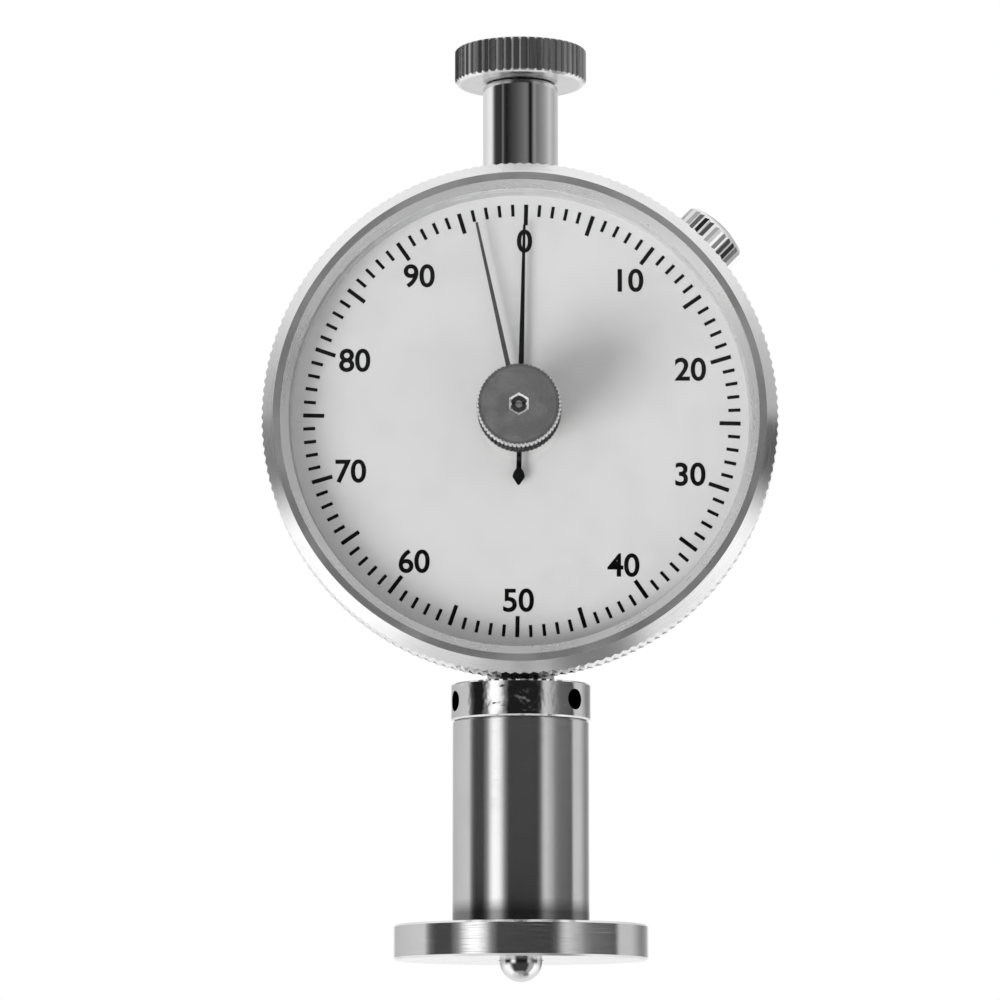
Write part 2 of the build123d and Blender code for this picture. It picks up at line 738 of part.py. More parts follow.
# ---- rear plate: a rounded plate on four pillars, with the guide pin's slot ----
rear_outline = RectangleRounded(rear_plate_width, rear_plate_height, rear_plate_corner)
rear_plate = extrude(dial_plane(rear_plate_back_y) * rear_outline, plate_thickness)
slot_half = pin_radius + running_fit
slot_low = pin_z - step_gap
slot_high = pin_z + travel + step_gap
rear_plate -= level(slot_half, rear_plate_y, rear_plate_back_y, 0, slot_low)
rear_plate -= level(slot_half, rear_plate_y, rear_plate_back_y, 0, slot_high)
rear_plate -= block((-slot_half, rear_plate_y, slot_low), (slot_half, rear_plate_back_y, slot_high))
for x, z in arbor_places:
    rear_plate -= level(pivot_hole + bush_wall, rear_plate_y, rear_plate_back_y, x, z)
for x, z in pillar_places:
    rear_plate -= level(screw_hole, rear_plate_y, rear_plate_back_y, x, z)

# ---- hairspring and its stud: the stud stands on the rear plate at the strip's outer end ----
strip = []
for side in (1, -1):
    steps = range(hair_turns * hair_steps + 1)
    for step in steps if side == 1 else reversed(steps):
        share = step / (hair_turns * hair_steps)
        radius = collet_radius + body_gap / 2 + hair_strip
        radius += share * (hair_outer - radius) + side * hair_strip / 2
        angle = 2 * math.pi * step / hair_steps
        strip.append((radius * math.cos(angle), radius * math.sin(angle)))
hair_outline = make_face(Polyline(strip, close=True))
hairspring = extrude(dial_plane(hair_y, hair_x, hair_z) * hair_outline, hair_height)
export_step(hairspring, "parts/hairspring.step")
stud_x = hair_x + hair_outer + hair_strip / 2 + stud_radius
rear_plate -= level(stud_radius, rear_plate_y, rear_plate_back_y, stud_x, hair_z)
export_step(rear_plate, "parts/rear_plate.step")
stud = level(stud_radius, hair_y - hair_height, rear_plate_back_y, stud_x, hair_z)
export_step(stud, "parts/hairspring_stud.step")

# ---- pillars, and the small screws at both ends of them ----
pillars = []
plate_screws = []
for x, z in pillar_places:
    pillar = level(pillar_radius, front_web_front_y, rear_plate_y, x, z)
    pillar -= level(screw_hole, front_web_front_y, front_web_front_y + screw_length, x, z)
    pillar -= level(screw_hole, rear_plate_y - screw_length, rear_plate_y, x, z)
    pillars.append(pillar)
    plate_screws.append(cheese_head(x, z, front_plate_front_y, -1, screw_length))
    plate_screws.append(cheese_head(x, z, rear_plate_back_y, 1, screw_length))
export_step(Compound(pillars), "parts/plate_pillars.step")
export_step(Compound(plate_screws), "parts/plate_screws.step")
web_depth = front_web_back_y - front_plate_front_y
movement_screws = [cheese_head(x, z, front_plate_front_y, -1, web_depth) for x, z in web_screw_places]
export_step(Compound(movement_screws), "parts/movement_screws.step")

# ---- centre bridge on two posts: the rear bearing of the pointer's arbor ----
bridge_length = 2 * bridge_reach * math.sqrt(2) + bridge_width
bridge_outline = Rot(0, 0, bridge_turn) * SlotOverall(bridge_length, bridge_width)
bridge = extrude(dial_plane(bridge_y) * bridge_outline, bridge_thickness)
bridge -= level(centre_hole, bridge_front_y, bridge_y)
posts = []
for x, z in post_places:
    post = level(post_radius, front_web_front_y, bridge_front_y, x, z)
    post += level(screw_hole, front_plate_front_y, front_web_front_y, x, z)
    post += level(arbor_radius, bridge_front_y, bridge_y, x, z)
    bridge -= level(arbor_radius, bridge_front_y, bridge_y, x, z)
    posts.append(post)
export_step(bridge, "parts/centre_bridge.step")
export_step(Compound(posts), "parts/bridge_posts.step")

# ---- pivot bushes: pressed into both plates ----
bushes = []
for x, z in arbor_places:
    for front, back in ((front_plate_front_y, front_web_front_y), (rear_plate_y, rear_plate_back_y)):
        bush = level(pivot_hole + bush_wall, front, back, x, z)
        bushes.append(bush - level(pivot_hole, front, back, x, z))
centre_bush = level(centre_hole + bush_wall, front_plate_front_y, front_web_front_y)
bushes.append(centre_bush - level(centre_hole, front_plate_front_y, front_web_front_y))
export_step(Compound(bushes), "parts/pivot_bushes.step")

# ---- rack pinion arbor, driven by the spindle's rack ----
rack_arbor = level(arbor_radius, front_plate_front_y, rear_plate_back_y, train_x, train_z)
half_pinion = rack_pinion_length / 2
rack_arbor += gear(pinion_teeth, 0, -half_pinion, half_pinion, train_x, train_z)
export_step(rack_arbor, "parts/rack_pinion_arbor.step")


def spoked_wheel(x, z, first_tooth):
    """A toothed wheel with a hub and spokes, bored for its arbor."""
    wheel = gear(wheel_teeth, first_tooth, wheel_front_y, wheel_back_y, x, z)
    rim_inner = wheel_pitch - dedendum * gear_module - wheel_rim
    opening = level(rim_inner, wheel_front_y, wheel_back_y, x, z)
    opening -= level(wheel_hub, wheel_front_y, wheel_back_y, x, z)
    for index in range(spoke_count // 2):
        spoke = block((x - wheel_pitch, wheel_front_y, z - spoke_width / 2),
                      (x + wheel_pitch, wheel_back_y, z + spoke_width / 2))
        opening -= spoke.rotate(Axis((x, 0, z), (0, 1, 0)), 360 * index / spoke_count)
    return wheel - opening - level(arbor_radius, wheel_front_y, wheel_back_y, x, z)


export_step(spoked_wheel(train_x, train_z, train_angle), "parts/intermediate_wheel.step")
export_step(spoked_wheel(hair_x, hair_z, hair_angle), "parts/hairspring_wheel.step")

# ---- hairspring arbor and collet ----
hair_arbor = level(arbor_radius, front_plate_front_y, rear_plate_back_y, hair_x, hair_z)
export_step(hair_arbor, "parts/hairspring_arbor.step")
collet = level(collet_radius, hair_y - collet_length / 2, hair_y + collet_length / 2, hair_x, hair_z)
collet -= level(arbor_radius, hair_y - collet_length / 2, hair_y + collet_length / 2, hair_x, hair_z)
export_step(collet, "parts/hairspring_collet.step")

# ---- centre pinion arbor: carries the main pointer ----
centre_arbor = level(centre_arbor_radius, centre_arbor_tip_y, bridge_y)
centre_pinion_turn = train_angle - 180 + pinion_step / 2
centre_pinion_front_y = wheel_front_y - centre_pinion_overlap
centre_pinion_back_y = wheel_back_y + centre_pinion_overlap
centre_arbor += gear(pinion_teeth, centre_pinion_turn, centre_pinion_front_y, centre_pinion_back_y, 0, dial_z)
export_step(centre_arbor, "parts/centre_pinion_arbor.step")

# ---- main pointer: a tapered blade with a spade-shaped counterweight, riveted on its hub ----
pointer = blade(pointer_tip, pointer_tip_width, pointer_root_width, pointer_y)
tail_edges = [Line((-pointer_tail_width / 2, 0), (pointer_tail_width / 2, 0))]
for side in (-1, 1):
    neck_point = (side * pointer_tail_width / 2, -counterweight_start)
    shoulder_point = (side * counterweight_shoulder_width / 2, -counterweight_shoulder)
    widest_point = (side * counterweight_width / 2, -counterweight_middle)
    tip_point = (side * counterweight_point / 2, -counterweight_end)
    tail_edges.append(Line((side * pointer_tail_width / 2, 0), neck_point))
    tail_edges.append(ThreePointArc(neck_point, shoulder_point, widest_point))
    tail_edges.append(Line(widest_point, tip_point))
tail_edges.append(Line((-counterweight_point / 2, -counterweight_end),
                       (counterweight_point / 2, -counterweight_end)))
pointer += extrude(dial_plane(pointer_y) * make_face(tail_edges), pointer_thickness)
pointer += level(pointer_boss, pointer_y - pointer_thickness, pointer_y)
pointer -= level(hub_radius, pointer_y - pointer_thickness, pointer_y)
export_step(turned_to(pointer, pointer_bearing), "parts/main_pointer.step")
pointer_hub = level(hub_radius, hub_front_y, hub_back_y)
pointer_hub -= level(centre_arbor_radius, hub_front_y, hub_back_y)
export_step(pointer_hub, "parts/main_pointer_hub.step")

# ---- drag pointer on its own arbor, through a bush in the crystal ----
drag = blade(drag_tip, drag_tip_width, drag_root_width, drag_y)
drag += level(drag_boss, drag_y - pointer_thickness, drag_y)
drag -= level(drag_arbor_radius, drag_y - pointer_thickness, drag_y)
export_step(turned_to(drag, drag_bearing), "parts/drag_pointer.step")
drag_bush = level(drag_bush_flange, drag_bush_front_y, crystal_front_y)
drag_bush += level(drag_bush_neck, crystal_front_y, drag_bush_back_y)
drag_bush -= level(drag_arbor_radius + running_fit, drag_bush_front_y, drag_bush_back_y)
export_step(drag_bush, "parts/drag_bush.step")
bush_nut = level(bush_nut_radius, crystal_back_y, drag_bush_back_y)
bush_nut -= level(drag_bush_neck, crystal_back_y, drag_bush_back_y)
export_step(bush_nut, "parts/drag_bush_nut.step")
drag_arbor = level(drag_arbor_radius, knob_floor_y, drag_y)
drag_arbor -= level(knob_screw_thread, knob_floor_y, knob_floor_y + knob_screw_length)
export_step(drag_arbor, "parts/drag_arbor.step")

# ---- friction washer under the centre knob ----
washer_back_y = centre_knob_back_y + washer_thickness
washer = level(drag_bush_flange, centre_knob_back_y, washer_back_y)
washer -= level(drag_arbor_radius, centre_knob_back_y, washer_back_y)
export_step(washer, "parts/friction_washer.step")

# ---- centre knob: knurled drum, tapered to its face, with a hexagonal recess for its screw ----
centre_knob = dial_turned([
    (0, centre_knob_back_y),
    (centre_knob_radius, centre_knob_back_y),
    (centre_knob_radius, centre_knob_front_y + centre_knob_taper_length),
    (centre_knob_radius - centre_knob_taper, centre_knob_front_y),
    (0, centre_knob_front_y),
])
centre_knob &= toothed(centre_knob_radius, centre_knob_knurl, centre_knob_teeth, centre_knob_length,
                       dial_plane(centre_knob_back_y))
recess_outline = RegularPolygon(knob_recess_radius, knob_recess_sides, rotation=knob_recess_turn)
centre_knob -= extrude(dial_plane(knob_floor_y) * recess_outline, knob_recess_depth)
centre_knob -= level(drag_arbor_radius, knob_floor_y, centre_knob_back_y)
export_step(centre_knob, "parts/centre_knob.step")
knob_screw = slotted_head(0, dial_z, knob_floor_y, -1, knob_screw_head, knob_screw_height,
                          knob_screw_length, knob_screw_thread)
export_step(knob_screw, "parts/knob_screw.step")

# ---- bezel clamp: a knurled screw at the rim draws the shoe's nose onto the bezel's lip ----
dome_foot = (clamp_knob_radius - clamp_knob_edge, 0, clamp_knob_end - clamp_knob_dome)
dome_top = (0, 0, clamp_knob_end)
clamp_knob_side = Polyline([
    dome_top,
    (0, 0, clamp_knob_base),
    (clamp_knob_radius, 0, clamp_knob_base),
    (clamp_knob_radius, 0, clamp_knob_end - clamp_knob_dome - clamp_knob_edge),
    dome_foot,
])
clamp_knob_cap = TangentArc(dome_top, dome_foot, tangent=(1, 0, 0))
clamp_screw = clamp_plane * revolve(make_face(clamp_knob_side.edges() + [clamp_knob_cap]), Axis.Z)
clamp_screw &= toothed(clamp_knob_radius, clamp_knob_knurl, clamp_knob_teeth, clamp_knob_length,
                       clamp_plane.offset(clamp_knob_base))
clamp_screw += on_clamp(clamp_screw_radius, clamp_screw_tip, clamp_knob_base)
export_step(clamp_screw, "parts/bezel_clamp_screw.step")
shoe = clamp_plane * block((nose_front_y - clamp_y, -shoe_width / 2, drum_bore),
                           (shoe_back, shoe_width / 2, shoe_top))
shoe -= level(drum_radius, drum_front_y, shoe_back_y)
shoe -= level(bezel_lip_radius + body_gap, land_y, drum_front_y)
shoe -= on_clamp(clamp_screw_radius + running_fit, 0, shoe_top)
export_step(shoe, "parts/clamp_shoe.step")
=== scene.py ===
import math

import bmesh
import bpy
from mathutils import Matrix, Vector


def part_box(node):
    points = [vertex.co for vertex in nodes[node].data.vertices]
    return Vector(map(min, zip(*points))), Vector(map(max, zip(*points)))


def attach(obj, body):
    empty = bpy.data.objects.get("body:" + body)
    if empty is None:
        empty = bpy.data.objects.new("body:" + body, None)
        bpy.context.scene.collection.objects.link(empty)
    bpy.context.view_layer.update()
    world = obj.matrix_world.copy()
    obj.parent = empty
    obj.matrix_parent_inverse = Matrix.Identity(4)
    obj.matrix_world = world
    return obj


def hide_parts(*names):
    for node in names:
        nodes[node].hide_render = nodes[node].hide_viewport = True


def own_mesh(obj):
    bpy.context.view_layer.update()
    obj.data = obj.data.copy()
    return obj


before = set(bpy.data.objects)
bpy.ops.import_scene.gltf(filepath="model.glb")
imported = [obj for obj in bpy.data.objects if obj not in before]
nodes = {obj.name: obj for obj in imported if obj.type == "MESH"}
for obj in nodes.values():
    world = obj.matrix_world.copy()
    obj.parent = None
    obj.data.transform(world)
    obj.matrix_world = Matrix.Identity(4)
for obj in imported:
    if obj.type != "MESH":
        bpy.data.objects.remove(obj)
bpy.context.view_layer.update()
scene = bpy.context.scene
scene.view_settings.view_transform = "Standard"


# ---- Camera ----
# A long lens half a metre in front of the dial, a little below the foot and looking up,
# so that the underside of the foot and of the top knob both show.
CAMERA_PLACE = (0.005984, -0.551344, -0.021422)
CAMERA_PITCH = 7.759
CAMERA_TURN = 0.874
SENSOR_WIDTH = 36.0
LENS_LENGTH = 171.1
camera_data = bpy.data.cameras.new("camera")
camera_data.sensor_width = SENSOR_WIDTH
camera_data.lens = LENS_LENGTH
camera_data.clip_start = 0.01
camera = bpy.data.objects.new("camera", camera_data)
camera.location = CAMERA_PLACE
camera.rotation_euler = (math.radians(90 + CAMERA_PITCH), 0, math.radians(CAMERA_TURN))
scene.collection.objects.link(camera)
scene.camera = camera


# ---- Studio room ----
# White seamless room for the eye. For the metal it is a room with a soft box at the left, dark
# flags beside it, a grey strip at the right, white cards low at both sides and a pale ceiling.
ROOM_LIGHT = 0.58          # what falls on paint and print from all round
BANDS_LOW = [              # azimuth in degrees from the front, brightness of the wall there
    (-180, 0.92), (-166, 0.85), (-158, 0.48), (-110, 0.57), (-97, 0.58), (-92, 0.22),
    (-88, 0.07), (-82, 0.012), (-66, 0.012), (-57, 0.24), (-51, 0.84), (-46, 1.12),
    (-38, 1.08), (-33, 0.80), (-27, 0.22), (-20, 0.012), (27, 0.012), (33, 0.08), (39, 0.50),
    (43, 0.60), (54, 0.40), (61, 0.20), (69, 0.13), (87, 0.10), (95, 0.07), (101, 0.58),
    (119, 0.57), (136, 0.26), (145, 0.24), (158, 0.42), (168, 0.90),
]
BANDS_HIGH = [
    (-180, 0.80), (-137, 0.72), (-106, 0.92), (-97, 0.80), (-92, 0.40), (-86, 0.10), (-80, 0.04),
    (-60, 0.03), (-57, 0.15), (-54, 0.15), (-50, 0.03), (-42, 0.012), (-30, 0.04), (-14, 0.075),
    (0, 0.12), (16, 0.18), (23, 0.15), (28, 0.012), (33, 0.01), (36, 0.06), (42, 0.26), (47, 0.26),
    (52, 0.18), (60, 0.21), (75, 0.30), (88, 0.42), (100, 0.60), (121, 0.44), (135, 0.52),
    (180, 0.80),
]
BANDS_BELOW = [
    (-180, 0.80), (-125, 0.85), (-100, 1.10), (-72, 1.10), (-56, 0.30), (-46, 0.05), (38, 0.05),
    (52, 0.40), (75, 0.45), (83, 1.12), (105, 1.12), (130, 0.85), (180, 0.80),
]
BANDS_FLOOR = [
    (-180, 0.70), (-60, 0.70), (-30, 0.35), (30, 0.30), (60, 0.20), (100, 0.20), (130, 0.60),
    (180, 0.70),
]
STRAIGHT_DOWN = 0.50
STRAIGHT_UP = 0.88
FLOOR_RISE = (-86, -76)    # degrees above the level, over which one zone gives way to the next
CARD_RISE = (-68, -52)
LOW_WALL_RISE = (-22, -3)
HIGH_WALL_RISE = (6.5, 9.5)
CEILING_RISE = (14, 58)


def number_step(tree, operation, *values):
    """One maths node on two or three sockets or numbers."""
    step = tree.nodes.new("ShaderNodeMath")
    step.operation = operation
    for place, value in enumerate(values):
        if isinstance(value, (int, float)):
            step.inputs[place].default_value = value
        else:
            tree.links.new(value, step.inputs[place])
    return step.outputs[0]


def range_step(tree, value, low, high, to_low=0, to_high=1, smooth=False):
    """Maps one range of a socket's value to another, and holds it at both ends."""
    step = tree.nodes.new("ShaderNodeMapRange")
    step.interpolation_type = "SMOOTHSTEP" if smooth else "LINEAR"
    ends = (("From Min", low), ("From Max", high), ("To Min", to_low), ("To Max", to_high))
    for name, end in ends:
        step.inputs[name].default_value = end
    tree.links.new(value, step.inputs["Value"])
    return step.outputs[0]


def colour_step(tree, share, first, second):
    """Blends two colours by a socket's value; each is a socket, a grey or a plain colour."""
    step = tree.nodes.new("ShaderNodeMix")
    step.data_type = "RGBA"
    tree.links.new(share, step.inputs["Factor"])
    for name, colour in (("A", first), ("B", second)):
        if isinstance(colour, float):
            step.inputs[name].default_value = (colour, colour, colour, 1)
        elif isinstance(colour, tuple):
            step.inputs[name].default_value = (*colour, 1)
        else:
            tree.links.new(colour, step.inputs[name])
    return step.outputs["Result"]


def shader_step(tree, share, first, second):
    """Blends two shaders by a socket's value."""
    step = tree.nodes.new("ShaderNodeMixShader")
    for place, socket in enumerate((share, first, second)):
        tree.links.new(socket, step.inputs[place])
    return step.outputs[0]


world = bpy.data.worlds.new("studio_room")
scene.world = world
world.use_nodes = True
room = world.node_tree
room.nodes.clear()
direction = room.nodes.new("ShaderNodeTexCoord")
heading = room.nodes.new("ShaderNodeSeparateXYZ")
room.links.new(direction.outputs["Generated"], heading.inputs[0])
to_front = number_step(room, "MULTIPLY", heading.outputs["Y"], -1)
azimuth = number_step(room, "ARCTAN2", heading.outputs["X"], to_front)
turn_share = range_step(room, azimuth, -math.pi, math.pi)


def wall_of(bands):
    """The brightness of one wall of the room, all the way round, from its bands."""
    ramp = room.nodes.new("ShaderNodeValToRGB")
    stops = ramp.color_ramp.elements
    while len(stops) < len(bands):
        stops.new(0.5)
    for stop, (degrees, brightness) in zip(stops, bands):
        stop.position = (degrees + 180) / 360
        stop.color = (brightness, brightness, brightness, 1)
    room.links.new(turn_share, ramp.inputs[0])
    return ramp.outputs[0]


def over(lower, upper, rise):
    """One zone of the room above another, blended between two heights in degrees."""
    low, high = (math.sin(math.radians(degrees)) for degrees in rise)
    share = range_step(room, heading.outputs["Z"], low, high, smooth=True)
    return colour_step(room, share, lower, upper)


far_below = over(STRAIGHT_DOWN, wall_of(BANDS_FLOOR), FLOOR_RISE)
below = over(far_below, wall_of(BANDS_BELOW), CARD_RISE)
lower_room = over(below, wall_of(BANDS_LOW), LOW_WALL_RISE)
whole_wall = over(lower_room, wall_of(BANDS_HIGH), HIGH_WALL_RISE)
whole_room = over(whole_wall, STRAIGHT_UP, CEILING_RISE)
for_metal = room.nodes.new("ShaderNodeBackground")
room.links.new(whole_room, for_metal.inputs["Color"])
for_paint = room.nodes.new("ShaderNodeBackground")
for_paint.inputs["Color"].default_value = (1, 1, 1, 1)
for_paint.inputs["Strength"].default_value = ROOM_LIGHT
for_eye = room.nodes.new("ShaderNodeBackground")
for_eye.inputs["Color"].default_value = (1, 1, 1, 1)
ray = room.nodes.new("ShaderNodeLightPath").outputs
not_mirrored = number_step(room, "LESS_THAN", ray["Glossy Depth"], 0.5)
straight_through = number_step(room, "MULTIPLY", ray["Is Transmission Ray"], not_mirrored)
seen = number_step(room, "MAXIMUM", ray["Is Camera Ray"], straight_through)
mirrored = number_step(room, "MAXIMUM", ray["Is Glossy Ray"], ray["Is Transmission Ray"])
surroundings = shader_step(room, mirrored, for_paint.outputs[0], for_metal.outputs[0])
backdrop = shader_step(room, seen, surroundings, for_eye.outputs[0])
room_out = room.nodes.new("ShaderNodeOutputWorld")
room.links.new(backdrop, room_out.inputs["Surface"])


# ---- Lamps ----
# A soft lamp low at the left throws the rim's and the knob's shadows across the dial. A second
# one overhead lights the floor. Neither shows in the metal, where the room's bands do that.
def soft_lamp(name, toward, strength, spread):
    """A sun lamp shining along a direction, with soft shadows."""
    data = bpy.data.lights.new(name, "SUN")
    data.energy = strength
    data.angle = math.radians(spread)
    lamp = bpy.data.objects.new(name, data)
    lamp.rotation_euler = Vector(toward).to_track_quat("-Z", "Y").to_euler()
    lamp.visible_glossy = False
    scene.collection.objects.link(lamp)


soft_lamp("key_lamp", toward=(0.95, 1.0, 0.72), strength=2.25, spread=31)
soft_lamp("top_lamp", toward=(0.25, -0.12, -1.0), strength=1.5, spread=25)


# ---- Floor ----
# Pale matt sheet just under the ball. From below it is clear, so the view up from under the
# foot isn't closed off; metal looks past it to the room's cards.
FLOOR_HEIGHT = -0.00262
FLOOR_SIZE = 4.0
bpy.ops.object.select_all(action="DESELECT")
bpy.ops.mesh.primitive_grid_add(
    x_subdivisions=8, y_subdivisions=8, size=FLOOR_SIZE, location=(0, 0, FLOOR_HEIGHT))
floor = bpy.context.object
floor.name = "floor"
floor.visible_shadow = False
floor.visible_glossy = False
floor_paper = bpy.data.materials.new("floor_paper")
floor_paper.use_nodes = True
sheet = floor_paper.node_tree
sheet.nodes.clear()
paper_face = sheet.nodes.new("ShaderNodeBsdfDiffuse")
paper_face.inputs["Color"].default_value = (0.98, 0.98, 0.98, 1)
paper_side = sheet.nodes.new("ShaderNodeNewGeometry")
paper_clear = sheet.nodes.new("ShaderNodeBsdfTransparent")
paper_both = shader_step(
    sheet, paper_side.outputs["Backfacing"], paper_face.outputs[0], paper_clear.outputs[0])
paper_out = sheet.nodes.new("ShaderNodeOutputMaterial")
sheet.links.new(paper_both, paper_out.inputs["Surface"])
floor.data.materials.append(floor_paper)


# ---- Case body ----
# One zinc casting: drum, inner webs, front register, neck and top boss, turned where it
# shows and then satin chromed. Its own solid is the finished shape.
MM = 0.001
DIAL_AXIS = (0, 1, 0)
SPINDLE_AXIS = (0, 0, 1)
DIAL_HEIGHT = 62.15 * MM
DIAL_CENTRE = (0, 0, DIAL_HEIGHT)
SPINDLE_CENTRE = (0, 0, 0)


def new_group(name, inputs, outputs):
    """An empty node group with named float and vector sockets."""
    group = bpy.data.node_groups.new(name, "ShaderNodeTree")
    for label, kind in inputs:
        group.interface.new_socket(name=label, in_out="INPUT", socket_type=kind)
    for label, kind in outputs:
        group.interface.new_socket(name=label, in_out="OUTPUT", socket_type=kind)
    return group, group.nodes.new("NodeGroupInput"), group.nodes.new("NodeGroupOutput")


def vector_step(tree, operation, *vectors):
    """One vector maths node on one or two sockets."""
    step = tree.nodes.new("ShaderNodeVectorMath")
    step.operation = operation
    for place, vector in enumerate(vectors):
        tree.links.new(vector, step.inputs[place])
    return step


def scale_step(tree, vector, scale):
    """A vector or colour, times a number."""
    step = tree.nodes.new("ShaderNodeVectorMath")
    step.operation = "SCALE"
    tree.links.new(vector, step.inputs[0])
    tree.links.new(scale, step.inputs["Scale"])
    return step.outputs[0]


def bump_step(tree, height, strength, depth):
    """A bump from a pattern's height."""
    step = tree.nodes.new("ShaderNodeBump")
    step.inputs["Strength"].default_value = strength
    step.inputs["Distance"].default_value = depth
    tree.links.new(height, step.inputs["Height"])
    return step.outputs[0]


FACE_TO_SIDE = 1.37         # the feed across a face, against the feed along a side


def make_lathe_marks():
    """Fine rings round an axis, as a lathe or polishing wheel leaves them, broken up along
    their length."""
    tree, given, result = new_group(
        "lathe_marks",
        [("Centre", "NodeSocketVector"), ("Axis", "NodeSocketVector"),
         ("Lines", "NodeSocketFloat"), ("Breaks", "NodeSocketFloat")],
        [("Mark", "NodeSocketFloat")],
    )
    place = tree.nodes.new("ShaderNodeTexCoord")
    arm = vector_step(tree, "SUBTRACT", place.outputs["Object"], given.outputs["Centre"])
    across = vector_step(tree, "CROSS_PRODUCT", arm.outputs[0], given.outputs["Axis"])
    radius = vector_step(tree, "LENGTH", across.outputs[0])
    along = vector_step(tree, "DOT_PRODUCT", arm.outputs[0], given.outputs["Axis"])
    way_round = vector_step(tree, "NORMALIZE", across.outputs[0])
    round_it = scale_step(tree, way_round.outputs[0], given.outputs["Breaks"])
    path = number_step(
        tree, "MULTIPLY_ADD", radius.outputs["Value"], FACE_TO_SIDE, along.outputs["Value"])
    lines = number_step(tree, "MULTIPLY", path, given.outputs["Lines"])
    noise = tree.nodes.new("ShaderNodeTexNoise")
    noise.noise_dimensions = "4D"
    noise.inputs["Scale"].default_value = 1.0
    noise.inputs["Detail"].default_value = 2.0
    tree.links.new(round_it, noise.inputs["Vector"])
    tree.links.new(lines, noise.inputs["W"])
    tree.links.new(noise.outputs["Fac"], result.inputs["Mark"])
    return tree


SPECKS_PER_SMUDGE = 14.0
SMUDGE_LEVELS = (0.42, 0.68)    # of the cloudy pattern, from clean to smudged
SPECK_LEVELS = (0.60, 0.75)


def make_handling():
    """Cloudy finger marks and dust, in a broad and a fine size, as a mask from 0 to 1."""
    tree, given, result = new_group(
        "handling",
        [("Size", "NodeSocketFloat")],
        [("Smudge", "NodeSocketFloat"), ("Speck", "NodeSocketFloat")],
    )
    place = tree.nodes.new("ShaderNodeTexCoord")
    broad = tree.nodes.new("ShaderNodeTexNoise")
    broad.inputs["Detail"].default_value = 4.0
    broad.inputs["Roughness"].default_value = 0.6
    tree.links.new(place.outputs["Object"], broad.inputs["Vector"])
    tree.links.new(number_step(tree, "DIVIDE", 1.0, given.outputs["Size"]), broad.inputs["Scale"])
    smudge = range_step(tree, broad.outputs["Fac"], *SMUDGE_LEVELS, smooth=True)
    fine = tree.nodes.new("ShaderNodeTexNoise")
    fine.inputs["Detail"].default_value = 2.0
    tree.links.new(place.outputs["Object"], fine.inputs["Vector"])
    tree.links.new(
        number_step(tree, "DIVIDE", SPECKS_PER_SMUDGE, given.outputs["Size"]), fine.inputs["Scale"])
    speck = range_step(tree, fine.outputs["Fac"], *SPECK_LEVELS)
    tree.links.new(smudge, result.inputs["Smudge"])
    tree.links.new(speck, result.inputs["Speck"])
    return tree


def make_zone():
    """1 inside a ring-shaped space round an axis, between two radii and two depths, else 0."""
    tree, given, result = new_group(
        "turned_zone",
        [("Centre", "NodeSocketVector"), ("Axis", "NodeSocketVector"), ("Inner", "NodeSocketFloat"),
         ("Outer", "NodeSocketFloat"), ("Near", "NodeSocketFloat"), ("Far", "NodeSocketFloat"),
         ("Edge", "NodeSocketFloat")],
        [("Mask", "NodeSocketFloat")],
    )
    place = tree.nodes.new("ShaderNodeTexCoord")
    arm = vector_step(tree, "SUBTRACT", place.outputs["Object"], given.outputs["Centre"])
    across = vector_step(tree, "CROSS_PRODUCT", arm.outputs[0], given.outputs["Axis"])
    radius = vector_step(tree, "LENGTH", across.outputs[0]).outputs["Value"]
    along = vector_step(tree, "DOT_PRODUCT", arm.outputs[0], given.outputs["Axis"]).outputs["Value"]
    inside = None
    for reach, limit in ((radius, "Inner"), (radius, "Outer"), (along, "Near"), (along, "Far")):
        past = number_step(tree, "SUBTRACT", reach, given.outputs[limit])
        if limit in ("Outer", "Far"):
            past = number_step(tree, "MULTIPLY", past, -1)
        share = number_step(tree, "DIVIDE", past, given.outputs["Edge"])
        step = number_step(tree, "ADD", share, 0.5)
        step.node.use_clamp = True
        inside = step if inside is None else number_step(tree, "MULTIPLY", inside, step)
    tree.links.new(inside, result.inputs["Mask"])
    return tree


lathe_marks = make_lathe_marks()
handling = make_handling()
turned_zone = make_zone()
SPECK_WEAR = 0.35          # how far specks and smudges take a metal to its worn tone
SMUDGE_WEAR = 0.5
MARK_DULLING = 0.6         # how far rings and smudges take it to its full roughness
SMUDGE_DULLING = 0.6
MARK_DEPTH = 0.03 * MM


